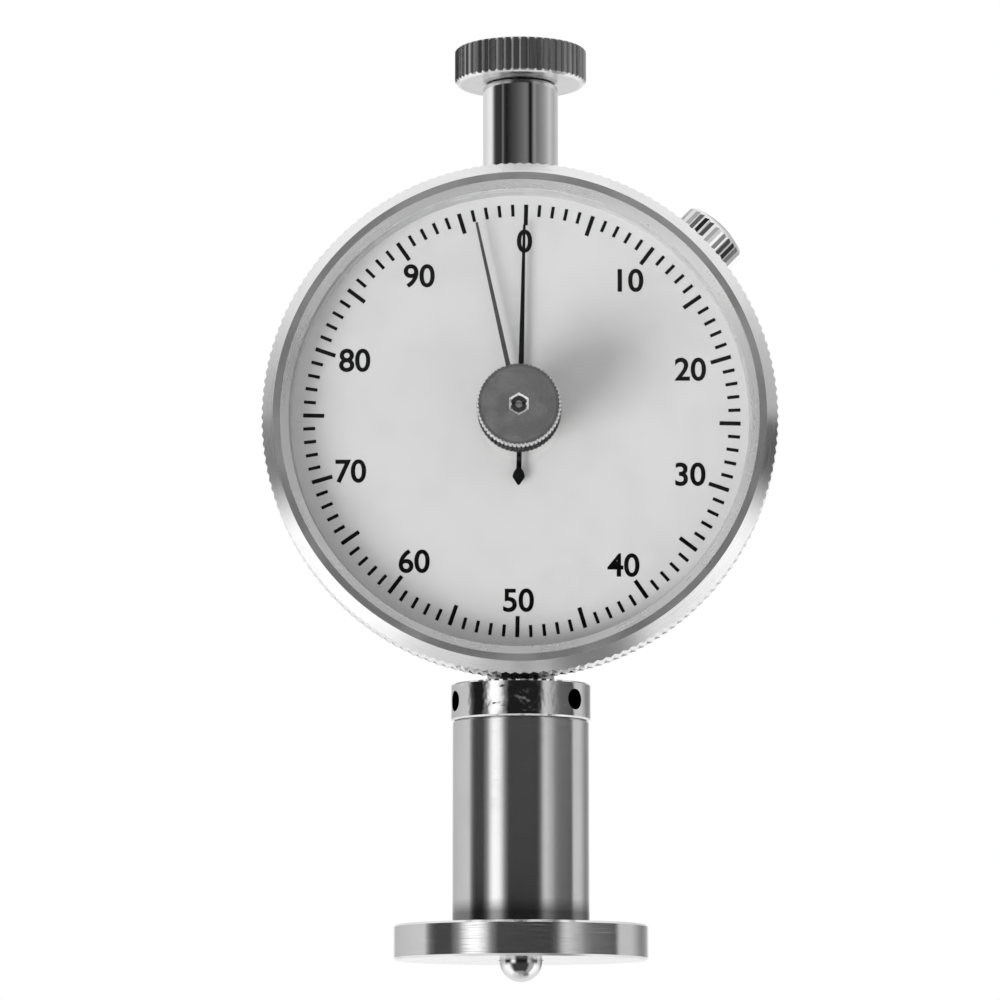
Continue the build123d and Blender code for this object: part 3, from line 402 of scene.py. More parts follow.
def metal(name, tone, worn_tone, roughness, centre, axis, lines=9000.0, breaks=3.0, relief=0.12,
          spread=0.06, smudge_size=0.009, tint=(1, 1, 1), haze=0.0, grain=0.0):
    """A turned metal: tone and roughness vary with the lathe's rings and with handling. Lines
    are per metre, breaks are round the axis, and haze is how much of the surface is dull."""
    finish = bpy.data.materials.new(name)
    finish.use_nodes = True
    tree = finish.node_tree
    shader = tree.nodes["Principled BSDF"]
    shader.inputs["Metallic"].default_value = 1.0 - haze
    marks = tree.nodes.new("ShaderNodeGroup")
    marks.node_tree = lathe_marks
    marks.inputs["Centre"].default_value = centre
    marks.inputs["Axis"].default_value = axis
    marks.inputs["Lines"].default_value = lines
    marks.inputs["Breaks"].default_value = breaks
    touch = tree.nodes.new("ShaderNodeGroup")
    touch.node_tree = handling
    touch.inputs["Size"].default_value = smudge_size
    smudged = number_step(tree, "MULTIPLY", touch.outputs["Smudge"], SMUDGE_WEAR)
    worn = number_step(tree, "MULTIPLY_ADD", touch.outputs["Speck"], SPECK_WEAR, smudged)
    colour = colour_step(tree, worn, tuple(tone * part for part in tint),
                         tuple(worn_tone * part for part in tint))
    streak = number_step(tree, "MULTIPLY_ADD", marks.outputs["Mark"], 2 * grain, 1 - grain)
    tree.links.new(scale_step(tree, colour, streak), shader.inputs["Base Color"])
    dulled = number_step(tree, "MULTIPLY", touch.outputs["Smudge"], SMUDGE_DULLING)
    dull = number_step(tree, "MULTIPLY_ADD", marks.outputs["Mark"], MARK_DULLING, dulled)
    gloss = range_step(tree, dull, 0, 1, roughness, roughness + spread)
    tree.links.new(gloss, shader.inputs["Roughness"])
    bump = bump_step(tree, marks.outputs["Mark"], relief, MARK_DEPTH)
    tree.links.new(bump, shader.inputs["Normal"])
    return finish


def zoned(finish, centre, axis, radii, depths, tone, roughness, edge=0.08, haze=0.0):
    """Multiplies a finish's tone and roughness in one turned zone, and adds dullness there;
    radii, depths along the axis and the edge's softness are in millimetres."""
    tree = finish.node_tree
    shader = tree.nodes["Principled BSDF"]
    zone = tree.nodes.new("ShaderNodeGroup")
    zone.node_tree = turned_zone
    zone.inputs["Centre"].default_value = centre
    zone.inputs["Axis"].default_value = axis
    for name, value in zip(("Inner", "Outer", "Near", "Far", "Edge"), (*radii, *depths, edge)):
        zone.inputs[name].default_value = value * MM
    for name, value in (("Base Color", tone), ("Roughness", roughness)):
        before = shader.inputs[name].links[0].from_socket
        scale = number_step(tree, "MULTIPLY_ADD", zone.outputs["Mask"], value - 1, 1)
        tree.links.new(scale_step(tree, before, scale), shader.inputs[name])
    if haze:
        metallic = shader.inputs["Metallic"]
        dull = number_step(
            tree, "MULTIPLY_ADD", zone.outputs["Mask"], -haze, metallic.default_value)
        tree.links.new(dull, metallic)


def dress(finish, *names):
    """Gives a finish to the solids of these names."""
    for name in names:
        for holder in nodes[name].material_slots:
            holder.material = finish


satin_case = metal(
    "satin_case", 0.62, 0.50, 0.24, DIAL_CENTRE, DIAL_AXIS, relief=0.3, grain=0.12)
dress(satin_case, "case_body")


# ---- Back cover and its screws ----
# A shallow domed steel disc, spun and satin finished, set into the drum's rim and held by
# four small slotted screws.
spun_cover = metal("spun_cover", 0.66, 0.55, 0.20, DIAL_CENTRE, DIAL_AXIS,
                   lines=2600.0, breaks=1.2, relief=0.5, grain=0.35)
dress(spun_cover, "back_cover")
screw_steel = metal("screw_steel", 0.52, 0.40, 0.22, DIAL_CENTRE, DIAL_AXIS,
                    lines=14000.0, smudge_size=0.003)
dress(screw_steel, "cover_screws", "plate_screws", "movement_screws")


# ---- Movement plates, pillars and bearings ----
# Milled brass plates on steel pillars, with pressed bushes, a bridge on two posts and the
# retaining ring that holds the bezel on its register.
BRASS = (1.0, 0.79, 0.45)
plate_brass = metal("plate_brass", 0.80, 0.62, 0.22, DIAL_CENTRE, DIAL_AXIS,
                    lines=5000.0, tint=BRASS)
dress(plate_brass, "front_plate", "rear_plate", "centre_bridge")
bush_brass = metal("bush_brass", 0.78, 0.60, 0.16, DIAL_CENTRE, DIAL_AXIS,
                   lines=16000.0, tint=BRASS)
dress(bush_brass, "pivot_bushes", "main_pointer_hub", "drag_bush_nut")
guide_brass = metal("guide_brass", 0.78, 0.60, 0.18, SPINDLE_CENTRE, SPINDLE_AXIS,
                    lines=16000.0, tint=BRASS)
dress(guide_brass, "lower_guide_bush", "upper_guide_bush", "spring_adjusting_nut")
post_steel = metal("post_steel", 0.56, 0.45, 0.20, DIAL_CENTRE, DIAL_AXIS,
                   lines=12000.0, smudge_size=0.004)
dress(post_steel, "plate_pillars", "bridge_posts", "hairspring_stud", "bezel_retaining_ring")


# ---- Wheel train and hairspring ----
# Cut brass wheels on steel arbors, run together by their teeth, and a flat blue-grey strip
# spring that takes up the play.
wheel_brass = metal("wheel_brass", 0.82, 0.66, 0.17, DIAL_CENTRE, DIAL_AXIS,
                    lines=11000.0, tint=BRASS)
dress(wheel_brass, "intermediate_wheel", "hairspring_wheel", "hairspring_collet")
arbor_steel = metal("arbor_steel", 0.60, 0.50, 0.12, DIAL_CENTRE, DIAL_AXIS,
                    lines=18000.0, smudge_size=0.002)
dress(arbor_steel, "rack_pinion_arbor", "centre_pinion_arbor", "hairspring_arbor", "drag_arbor")
strip_steel = metal("strip_steel", 0.34, 0.24, 0.25, DIAL_CENTRE, DIAL_AXIS,
                    smudge_size=0.002, tint=(0.82, 0.9, 1.0))
dress(strip_steel, "hairspring")


# ---- Spindle, ball and calibrated spring ----
# A ground steel rod with its rack, and the hardened and polished ball at its foot. The coil
# spring stands between the rod's seat and the adjusting nut.
ground_steel = metal("ground_steel", 0.62, 0.52, 0.13, SPINDLE_CENTRE, SPINDLE_AXIS, lines=15000.0)
dress(ground_steel, "spindle", "spring_seat", "guide_pin")
ball_steel = metal("ball_steel", 0.86, 0.78, 0.03, SPINDLE_CENTRE, SPINDLE_AXIS,
                   relief=0.0, spread=0.03, smudge_size=0.002)
dress(ball_steel, "ball_indenter")
wire_steel = metal("wire_steel", 0.42, 0.32, 0.28, SPINDLE_CENTRE, SPINDLE_AXIS,
                   lines=4000.0, smudge_size=0.003)


def finished(piece, name, body, finish, angle=30):
    """Shades, names and dresses a piece, puts its origin at the frame's, and hangs it on
    its body."""
    if piece.mode == "EDIT":
        bpy.ops.object.mode_set(mode="OBJECT")
    bpy.ops.object.select_all(action="DESELECT")
    piece.select_set(True)
    bpy.context.view_layer.objects.active = piece
    bpy.ops.object.transform_apply(location=True, rotation=True, scale=True)
    bpy.ops.object.shade_smooth_by_angle(angle=math.radians(angle))
    piece.name = name
    piece.data.name = name
    piece.data.materials.clear()
    piece.data.materials.append(finish)
    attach(piece, body)


COIL_TURNS = 4.5
COIL_RADIUS = 4.5 * MM
COIL_LOW = 9.9 * MM
COIL_HIGH = 21.5 * MM
COIL_STEPS = 216
WIRE_RADIUS = 0.48 * MM
WIRE_STEPS = 12
bpy.ops.object.select_all(action="DESELECT")
bpy.ops.mesh.primitive_circle_add(
    vertices=WIRE_STEPS, radius=WIRE_RADIUS, location=(COIL_RADIUS, 0, COIL_LOW),
    rotation=(math.pi / 2, 0, 0))
bpy.ops.object.transform_apply(location=True, rotation=True, scale=True)
spring = bpy.context.object
coiling = spring.modifiers.new("coiling", "SCREW")
coiling.angle = 2 * math.pi * COIL_TURNS
coiling.screw_offset = COIL_HIGH - COIL_LOW
coiling.steps = coiling.render_steps = COIL_STEPS
bpy.ops.object.modifier_apply(modifier=coiling.name)
bpy.ops.object.mode_set(mode="EDIT")
bpy.ops.mesh.select_all(action="SELECT")
bpy.ops.mesh.fill_holes(sides=0)
bpy.ops.mesh.normals_make_consistent(inside=False)
finished(spring, "coil_spring", "case", wire_steel)
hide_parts("calibrated_spring")
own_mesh(spring)


# ---- Presser foot and barrel ----
# Steel, turned with a fine feed, polished and hard chromed. The flange's face and the sleeve
# keep a little of the lathe's rings, which fray the edges of what they reflect.
foot_chrome = metal("foot_chrome", 0.90, 0.80, 0.04, SPINDLE_CENTRE, SPINDLE_AXIS,
                    lines=7000.0, breaks=2.4, relief=0.5, spread=0.05, haze=0.035, grain=0.06)
dress(foot_chrome, "presser_foot")
barrel_chrome = metal("barrel_chrome", 0.88, 0.78, 0.09, SPINDLE_CENTRE, SPINDLE_AXIS,
                      lines=7000.0, breaks=2.0, relief=0.2, spread=0.07, haze=0.03)
# Painted shade: the sleeve is darkened, and dulled, towards its foot, where it stands on the
# flange.
BARREL_FOOT_SHADE = ((0.0, 9.0), (2.0, 6.1))
zoned(barrel_chrome, SPINDLE_CENTRE, SPINDLE_AXIS, *BARREL_FOOT_SHADE, 0.34, 1.3, edge=1.6)
dress(barrel_chrome, "barrel")


# ---- Lock ring ----
# A short chromed ring with three bar holes, polished to a mirror by hand, so that its face
# is very slightly wavy and breaks up what it reflects.
ring_chrome = metal("ring_chrome", 0.92, 0.84, 0.03, SPINDLE_CENTRE, SPINDLE_AXIS,
                    lines=500.0, breaks=9.0, relief=0.3, spread=0.04)
WAVES_PER_METRE = 260.0
WAVE_HEIGHT = 0.13 * MM
RING_HOLE_SHADE = ((2.0, 7.75), (26.0, 33.0))
ring_tree = ring_chrome.node_tree
ring_place = ring_tree.nodes.new("ShaderNodeTexCoord")
polish_waves = ring_tree.nodes.new("ShaderNodeTexNoise")
polish_waves.inputs["Scale"].default_value = WAVES_PER_METRE
polish_waves.inputs["Detail"].default_value = 3.0
polish_waves.inputs["Distortion"].default_value = 0.3
ring_tree.links.new(ring_place.outputs["Object"], polish_waves.inputs["Vector"])
ring_waves = bump_step(ring_tree, polish_waves.outputs["Fac"], 1.0, WAVE_HEIGHT)
ring_shader = ring_tree.nodes["Principled BSDF"]
ring_lines = ring_shader.inputs["Normal"].links[0].from_node
ring_tree.links.new(ring_waves, ring_lines.inputs["Normal"])
# Painted shade: in the bar holes and the bore, inside the ring's skin, the chrome is darkened
# nearly to black.
zoned(ring_chrome, SPINDLE_CENTRE, SPINDLE_AXIS, *RING_HOLE_SHADE, 0.03, 6.0)
dress(ring_chrome, "lock_ring")


# ---- Dial plate and its rings ----
# A brass disc with satin white enamel, held against the crystal's spacer ring by a clamp
# ring behind it. Both rings are sprayed a darker grey.
STAIN_DULLING = 0.12
PEEL_PER_METRE = 2600.0
PEEL_DEPTH = 0.02 * MM


def painted(name, tone, stain_tone, roughness, stain_size, relief, sheen=0.3):
    """A sprayed finish: faint mottling in tone, and the orange peel of the coat as relief."""
    finish = bpy.data.materials.new(name)
    finish.use_nodes = True
    tree = finish.node_tree
    shader = tree.nodes["Principled BSDF"]
    shader.inputs["Specular IOR Level"].default_value = sheen
    touch = tree.nodes.new("ShaderNodeGroup")
    touch.node_tree = handling
    touch.inputs["Size"].default_value = stain_size
    colour = colour_step(tree, touch.outputs["Smudge"], tone, stain_tone)
    tree.links.new(colour, shader.inputs["Base Color"])
    gloss = range_step(
        tree, touch.outputs["Speck"], 0, 1, roughness, roughness + STAIN_DULLING)
    tree.links.new(gloss, shader.inputs["Roughness"])
    place = tree.nodes.new("ShaderNodeTexCoord")
    peel = tree.nodes.new("ShaderNodeTexNoise")
    peel.inputs["Scale"].default_value = PEEL_PER_METRE
    tree.links.new(place.outputs["Object"], peel.inputs["Vector"])
    bump = bump_step(tree, peel.outputs["Fac"], relief, PEEL_DEPTH)
    tree.links.new(bump, shader.inputs["Normal"])
    return finish


dial_enamel = painted("dial_enamel", 0.655, 0.628, 0.55, 0.006, 0.25)
dress(dial_enamel, "dial_plate")
ring_lacquer = painted("ring_lacquer", 0.55, 0.50, 0.5, 0.004, 0.2)
dress(ring_lacquer, "crystal_spacer_ring", "dial_clamp_ring")


# ---- Dial print ----
# Black satin ink: a hundred lines, every fifth one longer, and plain numerals, upright all
# round. The whole print sits a degree clockwise of the case, as the bezel was left, and a
# fifth of a millimetre off the plate's middle.
DIAL_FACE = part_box("dial_plate")[0].y
INK = 0.02 * MM
PRINT_TURN = math.radians(1.21)
PRINT_CENTRE = (0.19 * MM, 0, DIAL_HEIGHT + 0.07 * MM)
TICK_OUTER = 25.37 * MM
MINOR_TICK = 1.40 * MM
MAJOR_TICK = 2.45 * MM
MINOR_WIDTH = 0.38 * MM
MAJOR_WIDTH = 0.47 * MM
print_ink = painted("print_ink", 0.002, 0.004, 0.6, 0.003, 0.2, sheen=0.05)


def add_tick(length, width, turn):
    """One printed line of the open piece, at an angle clockwise from the top."""
    middle = TICK_OUTER - length / 2
    bpy.ops.mesh.select_all(action="DESELECT")
    bpy.ops.mesh.primitive_cube_add(
        size=1, location=(PRINT_CENTRE[0], DIAL_FACE - INK / 2, PRINT_CENTRE[2] + middle))
    bpy.ops.transform.resize(value=(width, INK, length))
    bpy.ops.transform.rotate(value=-turn, orient_axis="Y", center_override=PRINT_CENTRE)


bpy.ops.object.select_all(action="DESELECT")
bpy.ops.mesh.primitive_cube_add(size=1, location=DIAL_CENTRE)
ticks = bpy.context.object
bpy.ops.object.mode_set(mode="EDIT")
bpy.ops.mesh.delete(type="VERT")
for hundredth in range(100):
    major = hundredth % 5 == 0
    width = MAJOR_WIDTH if major else MINOR_WIDTH
    add_tick(MAJOR_TICK if major else MINOR_TICK, width, PRINT_TURN + hundredth * math.tau / 100)
finished(ticks, "dial_graduations", "bezel", print_ink)

NUMERAL_SIZE = 3.72 * MM
NUMERAL_WEIGHT = 0.07 * MM
NUMERAL_PLACES = {         # millimetres right of and above the plate's middle
    "0": (0.53, 21.10), "10": (12.86, 16.42), "20": (19.77, 5.92), "30": (19.70, -6.38),
    "40": (11.92, -16.96), "50": (-0.19, -21.01), "60": (-12.24, -16.45), "70": (-19.62, -5.94),
    "80": (-19.21, 7.07), "90": (-11.74, 17.02),
}
numerals = []
for figures, (right, up) in NUMERAL_PLACES.items():
    bpy.ops.object.select_all(action="DESELECT")
    bpy.ops.object.text_add(rotation=(math.pi / 2, 0, 0))
    numeral = bpy.context.object
    numeral.data.body = figures
    numeral.data.size = NUMERAL_SIZE
    numeral.data.offset = NUMERAL_WEIGHT
    numeral.data.extrude = INK / 2
    bpy.ops.object.convert(target="MESH")
    numeral = bpy.context.object
    bpy.ops.object.origin_set(type="ORIGIN_GEOMETRY", center="BOUNDS")
    numeral.location = (right * MM, DIAL_FACE - INK / 2, DIAL_HEIGHT + up * MM)
    numerals.append(numeral)
bpy.ops.object.select_all(action="DESELECT")
for numeral in numerals:
    numeral.select_set(True)
bpy.context.view_layer.objects.active = numerals[0]
bpy.ops.object.join()
finished(bpy.context.object, "dial_numerals", "bezel", print_ink)


# ---- Main pointer ----
# A stamped strip, tapered to a fine tip, with a rod tail and a pear-shaped counterweight,
# sprayed matt black and riveted to its brass hub.
pointer_paint = painted("pointer_paint", 0.002, 0.004, 0.6, 0.002, 0.2, sheen=0.05)
dress(pointer_paint, "main_pointer")


# ---- Crystal ----
# A flat disc of clear glass, bored for the drag pointer's bush. Light and shadow pass
# straight through it to the dial.
GLASS_INDEX = 1.46
GLASS_SMUDGE = 12 * MM
SMUDGED_ROUGHNESS = 0.02
crystal_glass = bpy.data.materials.new("crystal_glass")
crystal_glass.use_nodes = True
glass = crystal_glass.node_tree
glass_shader = glass.nodes["Principled BSDF"]
glass_shader.inputs["Transmission Weight"].default_value = 1.0
glass_shader.inputs["IOR"].default_value = GLASS_INDEX
glass_shader.inputs["Base Color"].default_value = (0.985, 0.985, 0.985, 1)
glass_touch = glass.nodes.new("ShaderNodeGroup")
glass_touch.node_tree = handling
glass_touch.inputs["Size"].default_value = GLASS_SMUDGE
glass_gloss = range_step(glass, glass_touch.outputs["Smudge"], 0, 1, 0, SMUDGED_ROUGHNESS)
glass.links.new(glass_gloss, glass_shader.inputs["Roughness"])
glass_ray = glass.nodes.new("ShaderNodeLightPath").outputs
glass_passed = number_step(
    glass, "MAXIMUM", glass_ray["Is Shadow Ray"], glass_ray["Is Diffuse Ray"])
glass_clear = glass.nodes.new("ShaderNodeBsdfTransparent")
glass_clear.inputs["Color"].default_value = (0.97, 0.97, 0.97, 1)
glass_both = shader_step(glass, glass_passed, glass_shader.outputs[0], glass_clear.outputs[0])
glass.links.new(glass_both, glass.nodes["Material Output"].inputs["Surface"])
dress(crystal_glass, "crystal")


# ---- Bezel ----
# A turned steel ring: straight knurl on the rim, a rounded front shoulder, a flat land with
# a dull circular grain and a polished bevel down to the glass. Chromed all over.
def turned(profile, steps, level):
    """A ring of (radius, height) points in millimetres, extruded from one to the next and
    closed; level is true round the dial's axis, and false round the spindle's."""
    centre = Vector(DIAL_CENTRE if level else SPINDLE_CENTRE)
    along = Vector(DIAL_AXIS if level else SPINDLE_AXIS)
    radius, height = profile[0]
    bpy.ops.object.select_all(action="DESELECT")
    bpy.ops.mesh.primitive_circle_add(
        vertices=steps, radius=radius * MM, location=centre + along * height * MM,
        rotation=(math.pi / 2 if level else 0, 0, 0))
    bpy.ops.object.transform_apply(location=True, rotation=True, scale=True)
    piece = bpy.context.object
    bpy.ops.object.mode_set(mode="EDIT")
    bpy.ops.mesh.select_all(action="SELECT")
    for next_radius, next_height in profile[1:]:
        rise = along * (next_height - height) * MM
        bpy.ops.mesh.extrude_region_move(TRANSFORM_OT_translate={"value": rise})
        share = next_radius / radius
        bpy.ops.transform.resize(value=(share, 1, share) if level else (share, share, 1),
                                 center_override=centre + along * next_height * MM)
        radius, height = next_radius, next_height
    bpy.ops.mesh.select_all(action="SELECT")
    bpy.ops.mesh.remove_doubles(threshold=0.001 * MM)
    bpy.ops.mesh.fill_holes(sides=0)
    bpy.ops.mesh.normals_make_consistent(inside=False)
    return piece


LEVEL_SLACK = 0.002 * MM
RADIUS_SLACK = 0.005 * MM


def cut_grooves(piece, steps, tooth_steps, crest, root, height, shift, level, ridged=False):
    """On one ring of the open piece, draws the grooves in to the root, and along by a shift;
    each is one step wide in the middle, or wide enough to leave only a ridge."""
    centre = Vector(DIAL_CENTRE if level else SPINDLE_CENTRE)
    along = Vector(DIAL_AXIS if level else SPINDLE_AXIS)
    bpy.ops.mesh.select_all(action="DESELECT")
    bpy.ops.mesh.select_mode(type="VERT")
    shape = bmesh.from_edit_mesh(piece.data)
    for vertex in shape.verts:
        arm = vertex.co - centre
        if level:
            across, up, rise = arm.x, arm.z, arm.y
        else:
            across, up, rise = arm.x, arm.y, arm.z
        step = round(math.atan2(across, up) / math.tau * steps)
        on_level = abs(rise - height * MM) < LEVEL_SLACK
        on_ring = on_level and abs(math.hypot(across, up) - crest * MM) < RADIUS_SLACK
        in_groove = step % tooth_steps != 0 if ridged else step % tooth_steps == tooth_steps // 2
        vertex.select = on_ring and in_groove
    shape.select_flush_mode()
    bmesh.update_edit_mesh(piece.data)
    share = root / crest
    bpy.ops.transform.resize(value=(share, 1, share) if level else (share, share, 1),
                             center_override=centre)
    bpy.ops.transform.translate(value=along * shift * MM)


# Sizes in millimetres: radii from the dial's axis, and depths along it, below 0 in front.
BEZEL_TEETH = 176
BEZEL_TOOTH_STEPS = 2
BEZEL_STEPS = BEZEL_TEETH * BEZEL_TOOTH_STEPS
BEZEL_RADIUS = 29.88
BEZEL_ROOT = 29.65
CONE_OUTER = 29.82
CONE_ROOT = 29.64
CONE_BACK = -9.56
LAND_OUTER = 28.45
LAND_INNER = 27.66
LAND_FACE = -10.85
BEVEL_BACK = -10.07
WINDOW = 26.68
BORE = 27.18
CRYSTAL_SEAT = -9.50
LIP_RADIUS = 28.60
LIP_BACK = -3.40
KNURL_BACK = -4.40
KNURL_EDGE = 0.12
KNURL_FRONT = -9.12
KNURL_RUNOUT = 0.10        # how far a groove's foot runs past the knurl at its back and front
CONE_RUNOUT = 0.12
bezel_chrome = metal("bezel_chrome", 0.93, 0.84, 0.10, DIAL_CENTRE, DIAL_AXIS,
                     lines=9000.0, breaks=3.0, relief=0.3, spread=0.10)
LAND = ((LAND_INNER, LAND_OUTER), (LAND_FACE - 0.15, LAND_FACE + 0.05))
BEVEL = ((WINDOW - 0.08, LAND_INNER - 0.02), (LAND_FACE + 0.03, BEVEL_BACK + 0.17))
zoned(bezel_chrome, DIAL_CENTRE, DIAL_AXIS, *LAND, 1.0, 3.2)
zoned(bezel_chrome, DIAL_CENTRE, DIAL_AXIS, *BEVEL, 0.88, 2.0, haze=0.29)
bezel = turned([
    (BORE, LIP_BACK), (LIP_RADIUS, LIP_BACK), (LIP_RADIUS, KNURL_BACK),
    (BEZEL_RADIUS - KNURL_EDGE, KNURL_BACK), (BEZEL_RADIUS, KNURL_BACK - KNURL_EDGE),
    (BEZEL_RADIUS, KNURL_FRONT), (CONE_OUTER, CONE_BACK), (LAND_OUTER, LAND_FACE),
    (LAND_INNER, LAND_FACE), (WINDOW + 0.05, BEVEL_BACK), (WINDOW, BEVEL_BACK + 0.05),
    (WINDOW, CRYSTAL_SEAT), (BORE, CRYSTAL_SEAT), (BORE, LIP_BACK),
], BEZEL_STEPS, level=True)
for crest, root, height, shift in (
        (BEZEL_RADIUS, BEZEL_ROOT, KNURL_BACK - KNURL_EDGE, KNURL_RUNOUT),
        (BEZEL_RADIUS, BEZEL_ROOT, KNURL_FRONT, 0),
        (CONE_OUTER, CONE_ROOT, CONE_BACK, -CONE_RUNOUT)):
    cut_grooves(bezel, BEZEL_STEPS, BEZEL_TOOTH_STEPS, crest, root, height, shift, level=True)
finished(bezel, "bezel_ring", "bezel", bezel_chrome)
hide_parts("bezel")


# ---- Drag pointer, its bush and washer ----
# A thin grey-lacquered hand on its own arbor, which turns in a dull chromed bush through the
# glass. A sprung washer keeps it where it is left.
drag_paint = painted("drag_paint", 0.06, 0.075, 0.45, 0.002, 0.2, sheen=0.1)
dress(drag_paint, "drag_pointer")
dull_chrome = metal("dull_chrome", 0.60, 0.50, 0.20, DIAL_CENTRE, DIAL_AXIS, lines=12000.0)
dress(dull_chrome, "drag_bush", "friction_washer")


# ---- Centre knob ----
# A steel knob that resets the drag pointer: faced on the lathe, with a fine straight knurl
# on its side, a steep taper and a six-sided countersink for the screw that holds it. The
# knurled side is painted near-black as shade.
knob_chrome = metal("knob_chrome", 0.88, 0.68, 0.27, DIAL_CENTRE, DIAL_AXIS,
                    lines=9000.0, breaks=5.0, relief=0.5, spread=0.2, smudge_size=0.0026,
                    grain=0.22)
KNURL_SHADE = ((4.5, 5.2), (-17.6, -13.0))
FACE_RIM_REFLECTION = ((4.28, 4.75), (-19.2, -18.80))
COUNTERSINK = ((0.70, 1.35), (-18.91, -18.30))
# Painted shade: the knurled side is darkened nearly to black.
zoned(knob_chrome, DIAL_CENTRE, DIAL_AXIS, *KNURL_SHADE, 0.04, 1.6)
# Painted reflection: the face's rim is darkened in a narrow ring.
zoned(knob_chrome, DIAL_CENTRE, DIAL_AXIS, *FACE_RIM_REFLECTION, 0.6, 1.2, edge=0.2)
zoned(knob_chrome, DIAL_CENTRE, DIAL_AXIS, *COUNTERSINK, 1.05, 0.6, edge=0.02, haze=0.5)
# Sizes as for the bezel, but for the recess, which is a hexagon sunk in the knob's face.
KNOB_TEETH = 60
KNOB_TOOTH_STEPS = 4
KNOB_STEPS = KNOB_TEETH * KNOB_TOOTH_STEPS
KNOB_BORE = 0.8
KNOB_RADIUS = 4.82
KNOB_ROOT = 4.66
KNOB_FACE = 4.64
KNOB_FACE_ROOT = 4.50
KNOB_BACK = -13.75
KNOB_EDGE = 0.12
KNOB_TAPER = -17.73
KNOB_FRONT = -18.93
RECESS_CORNER = 1.30 * MM
RECESS_BOTTOM = 0.86 * MM
RECESS_DEPTH = 0.45 * MM
centre_knob = turned([
    (KNOB_BORE, KNOB_BACK), (KNOB_RADIUS - KNOB_EDGE, KNOB_BACK),
    (KNOB_RADIUS, KNOB_BACK - KNOB_EDGE), (KNOB_RADIUS, KNOB_TAPER), (KNOB_FACE, KNOB_FRONT),
    (KNOB_BORE, KNOB_FRONT), (KNOB_BORE, KNOB_BACK),
], KNOB_STEPS, level=True)
for crest, root, height, shift in (
        (KNOB_RADIUS, KNOB_ROOT, KNOB_BACK - KNOB_EDGE, KNOB_EDGE),
        (KNOB_RADIUS, KNOB_ROOT, KNOB_TAPER, 0),
        (KNOB_FACE, KNOB_FACE_ROOT, KNOB_FRONT, 0)):
    cut_grooves(centre_knob, KNOB_STEPS, KNOB_TOOTH_STEPS, crest, root, height, shift, level=True)
bpy.ops.object.mode_set(mode="OBJECT")
bpy.ops.object.select_all(action="DESELECT")
# The punch is twice as long as the recess is deep: its far half stands in front of the face.
bpy.ops.mesh.primitive_cone_add(
    vertices=6, radius1=RECESS_BOTTOM, radius2=2 * RECESS_CORNER - RECESS_BOTTOM,
    depth=2 * RECESS_DEPTH, location=(0, KNOB_FRONT * MM, DIAL_HEIGHT),
    rotation=(math.pi / 2, 0, 0))
punch = bpy.context.object
recess = centre_knob.modifiers.new("countersink", "BOOLEAN")
recess.operation = "DIFFERENCE"
recess.solver = "EXACT"
recess.object = punch
bpy.ops.object.select_all(action="DESELECT")
bpy.context.view_layer.objects.active = centre_knob
centre_knob.select_set(True)
bpy.ops.object.modifier_apply(modifier=recess.name)
bpy.data.objects.remove(punch)
finished(centre_knob, "reset_knob", "drag", knob_chrome)
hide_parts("centre_knob")
bright_screw = metal("bright_screw", 0.95, 0.70, 0.30, DIAL_CENTRE, DIAL_AXIS,
                     lines=5000.0, relief=1.0, spread=0.2, smudge_size=0.0012)
SCREW_RIM_SHADE = ((0.40, 1.0), (-19.0, -18.3))
# Painted shade: the screw's head is darkened round its bright middle, down in the recess.
zoned(bright_screw, DIAL_CENTRE, DIAL_AXIS, *SCREW_RIM_SHADE, 0.22, 1.0, edge=0.07)
dress(bright_screw, "knob_screw")


# ---- Bezel clamp ----
# A steel shoe on the drum's rim holds the bezel's lip; a knurled screw with a domed head
# draws it down.
shoe_steel = metal("shoe_steel", 0.60, 0.50, 0.24, DIAL_CENTRE, DIAL_AXIS, relief=0.2)
dress(shoe_steel, "clamp_shoe")
CLAMP_AXIS = (0.698, 0, 0.716)
CLAMP_DOME = ((0, 7), (33.45, 34.4))
clamp_chrome = metal("clamp_chrome", 0.96, 0.80, 0.12, DIAL_CENTRE, CLAMP_AXIS, lines=9000.0)
zoned(clamp_chrome, DIAL_CENTRE, CLAMP_AXIS, *CLAMP_DOME, 0.50, 2.6, edge=0.5)
dress(clamp_chrome, "bezel_clamp_screw")


# ---- Top stem ----
# A polished chromed tube screwed into the case boss, where a stand or a loading weight
# takes hold.
stem_chrome = metal("stem_chrome", 0.90, 0.82, 0.04, SPINDLE_CENTRE, SPINDLE_AXIS,
                    lines=6000.0, breaks=2.0, relief=0.08, spread=0.04)
dress(stem_chrome, "top_stem")
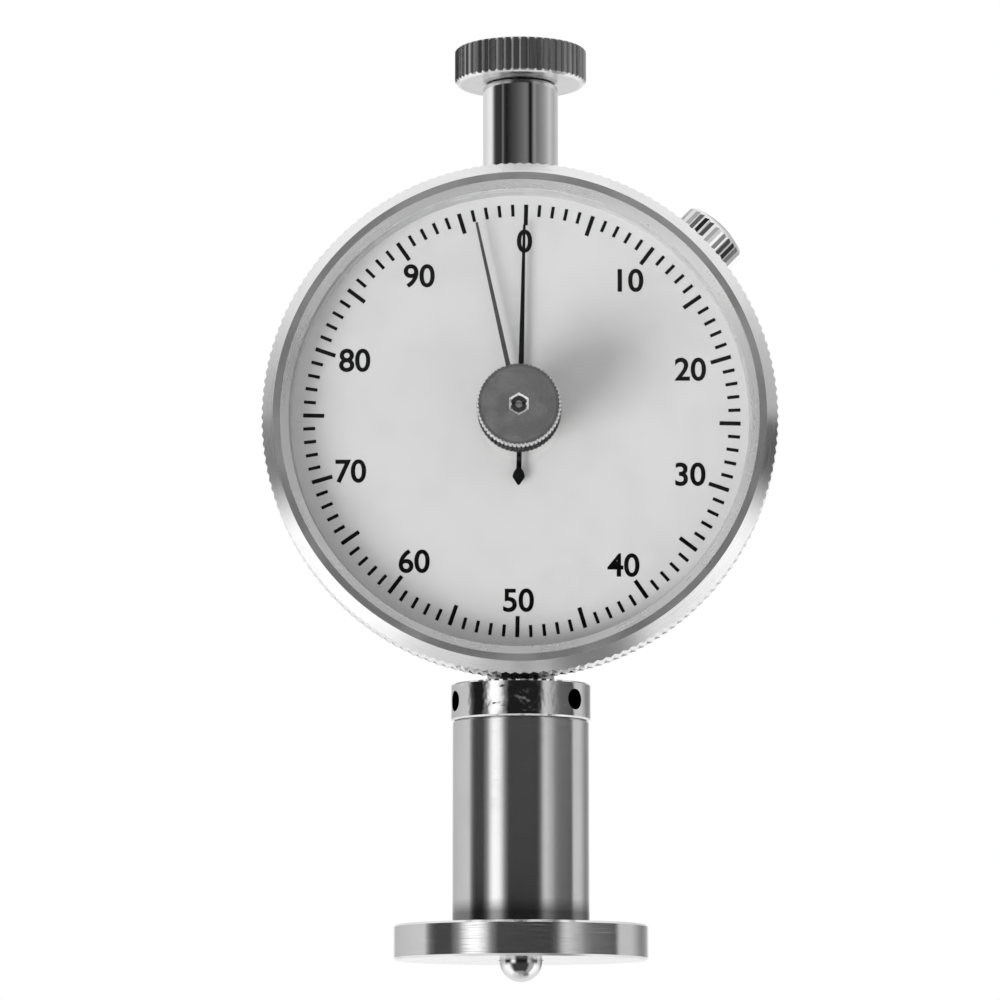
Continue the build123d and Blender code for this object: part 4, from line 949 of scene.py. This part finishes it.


# ---- Top knob ----
# A steel cap with a coarse straight knurl right up to its flat top, screwed into the stem.
# Its grooves are painted darker as shade.
cap_chrome = metal("cap_chrome", 0.80, 0.66, 0.14, SPINDLE_CENTRE, SPINDLE_AXIS,
                   lines=8000.0, relief=0.2)
GROOVE_SHADE = ((7.3, 7.61), (103.66, 107.43))
UNDERSIDE_SHADE = ((2.6, 7.2), (103.1, 103.45))
UNDER_EDGE = ((7.0, 7.80), (103.31, 103.66))
# Painted shade: the grooves between the flutes are darkened.
zoned(cap_chrome, SPINDLE_CENTRE, SPINDLE_AXIS, *GROOVE_SHADE, 0.52, 1.4, edge=0.06)
# Painted shade: the underside is a little darker, and it is also given a rougher finish.
zoned(cap_chrome, SPINDLE_CENTRE, SPINDLE_AXIS, *UNDERSIDE_SHADE, 0.88, 1.5)
# Painted highlight: the rim under the flutes is brightened, and it is also made glossier.
zoned(cap_chrome, SPINDLE_CENTRE, SPINDLE_AXIS, *UNDER_EDGE, 1.25, 0.8)
# Sizes in millimetres: radii from the spindle's axis, and heights above the foot's face.
CAP_TEETH = 52
CAP_TOOTH_STEPS = 4
CAP_STEPS = CAP_TEETH * CAP_TOOTH_STEPS
CAP_RADIUS = 7.77
CAP_ROOT = 7.55
CAP_UNDER = 103.30
CAP_UNDER_EDGE = 7.37
CAP_TOP = 107.45
CAP_TOP_EDGE = 7.50
CAP_MIDDLE = 0.5
FLUTES_LOW = 103.68
FLUTES_HIGH = 107.22
FLUTE_FOOT = 0.22          # how far a flute runs out below and above its crest's ends
FLUTE_HEAD = 0.19
THREAD_RADIUS = 2.45
THREAD_END = 98.70
top_knob = turned([
    (THREAD_RADIUS, THREAD_END), (THREAD_RADIUS, CAP_UNDER), (CAP_UNDER_EDGE, CAP_UNDER),
    (CAP_RADIUS, FLUTES_LOW), (CAP_RADIUS, FLUTES_HIGH), (CAP_TOP_EDGE, CAP_TOP),
    (CAP_MIDDLE, CAP_TOP),
], CAP_STEPS, level=False)
for height, shift in ((FLUTES_LOW, -FLUTE_FOOT), (FLUTES_HIGH, FLUTE_HEAD)):
    cut_grooves(top_knob, CAP_STEPS, CAP_TOOTH_STEPS, CAP_RADIUS, CAP_ROOT, height, shift,
                level=False, ridged=True)
finished(top_knob, "lifting_knob", "top_knob", cap_chrome)
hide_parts("top_knob")
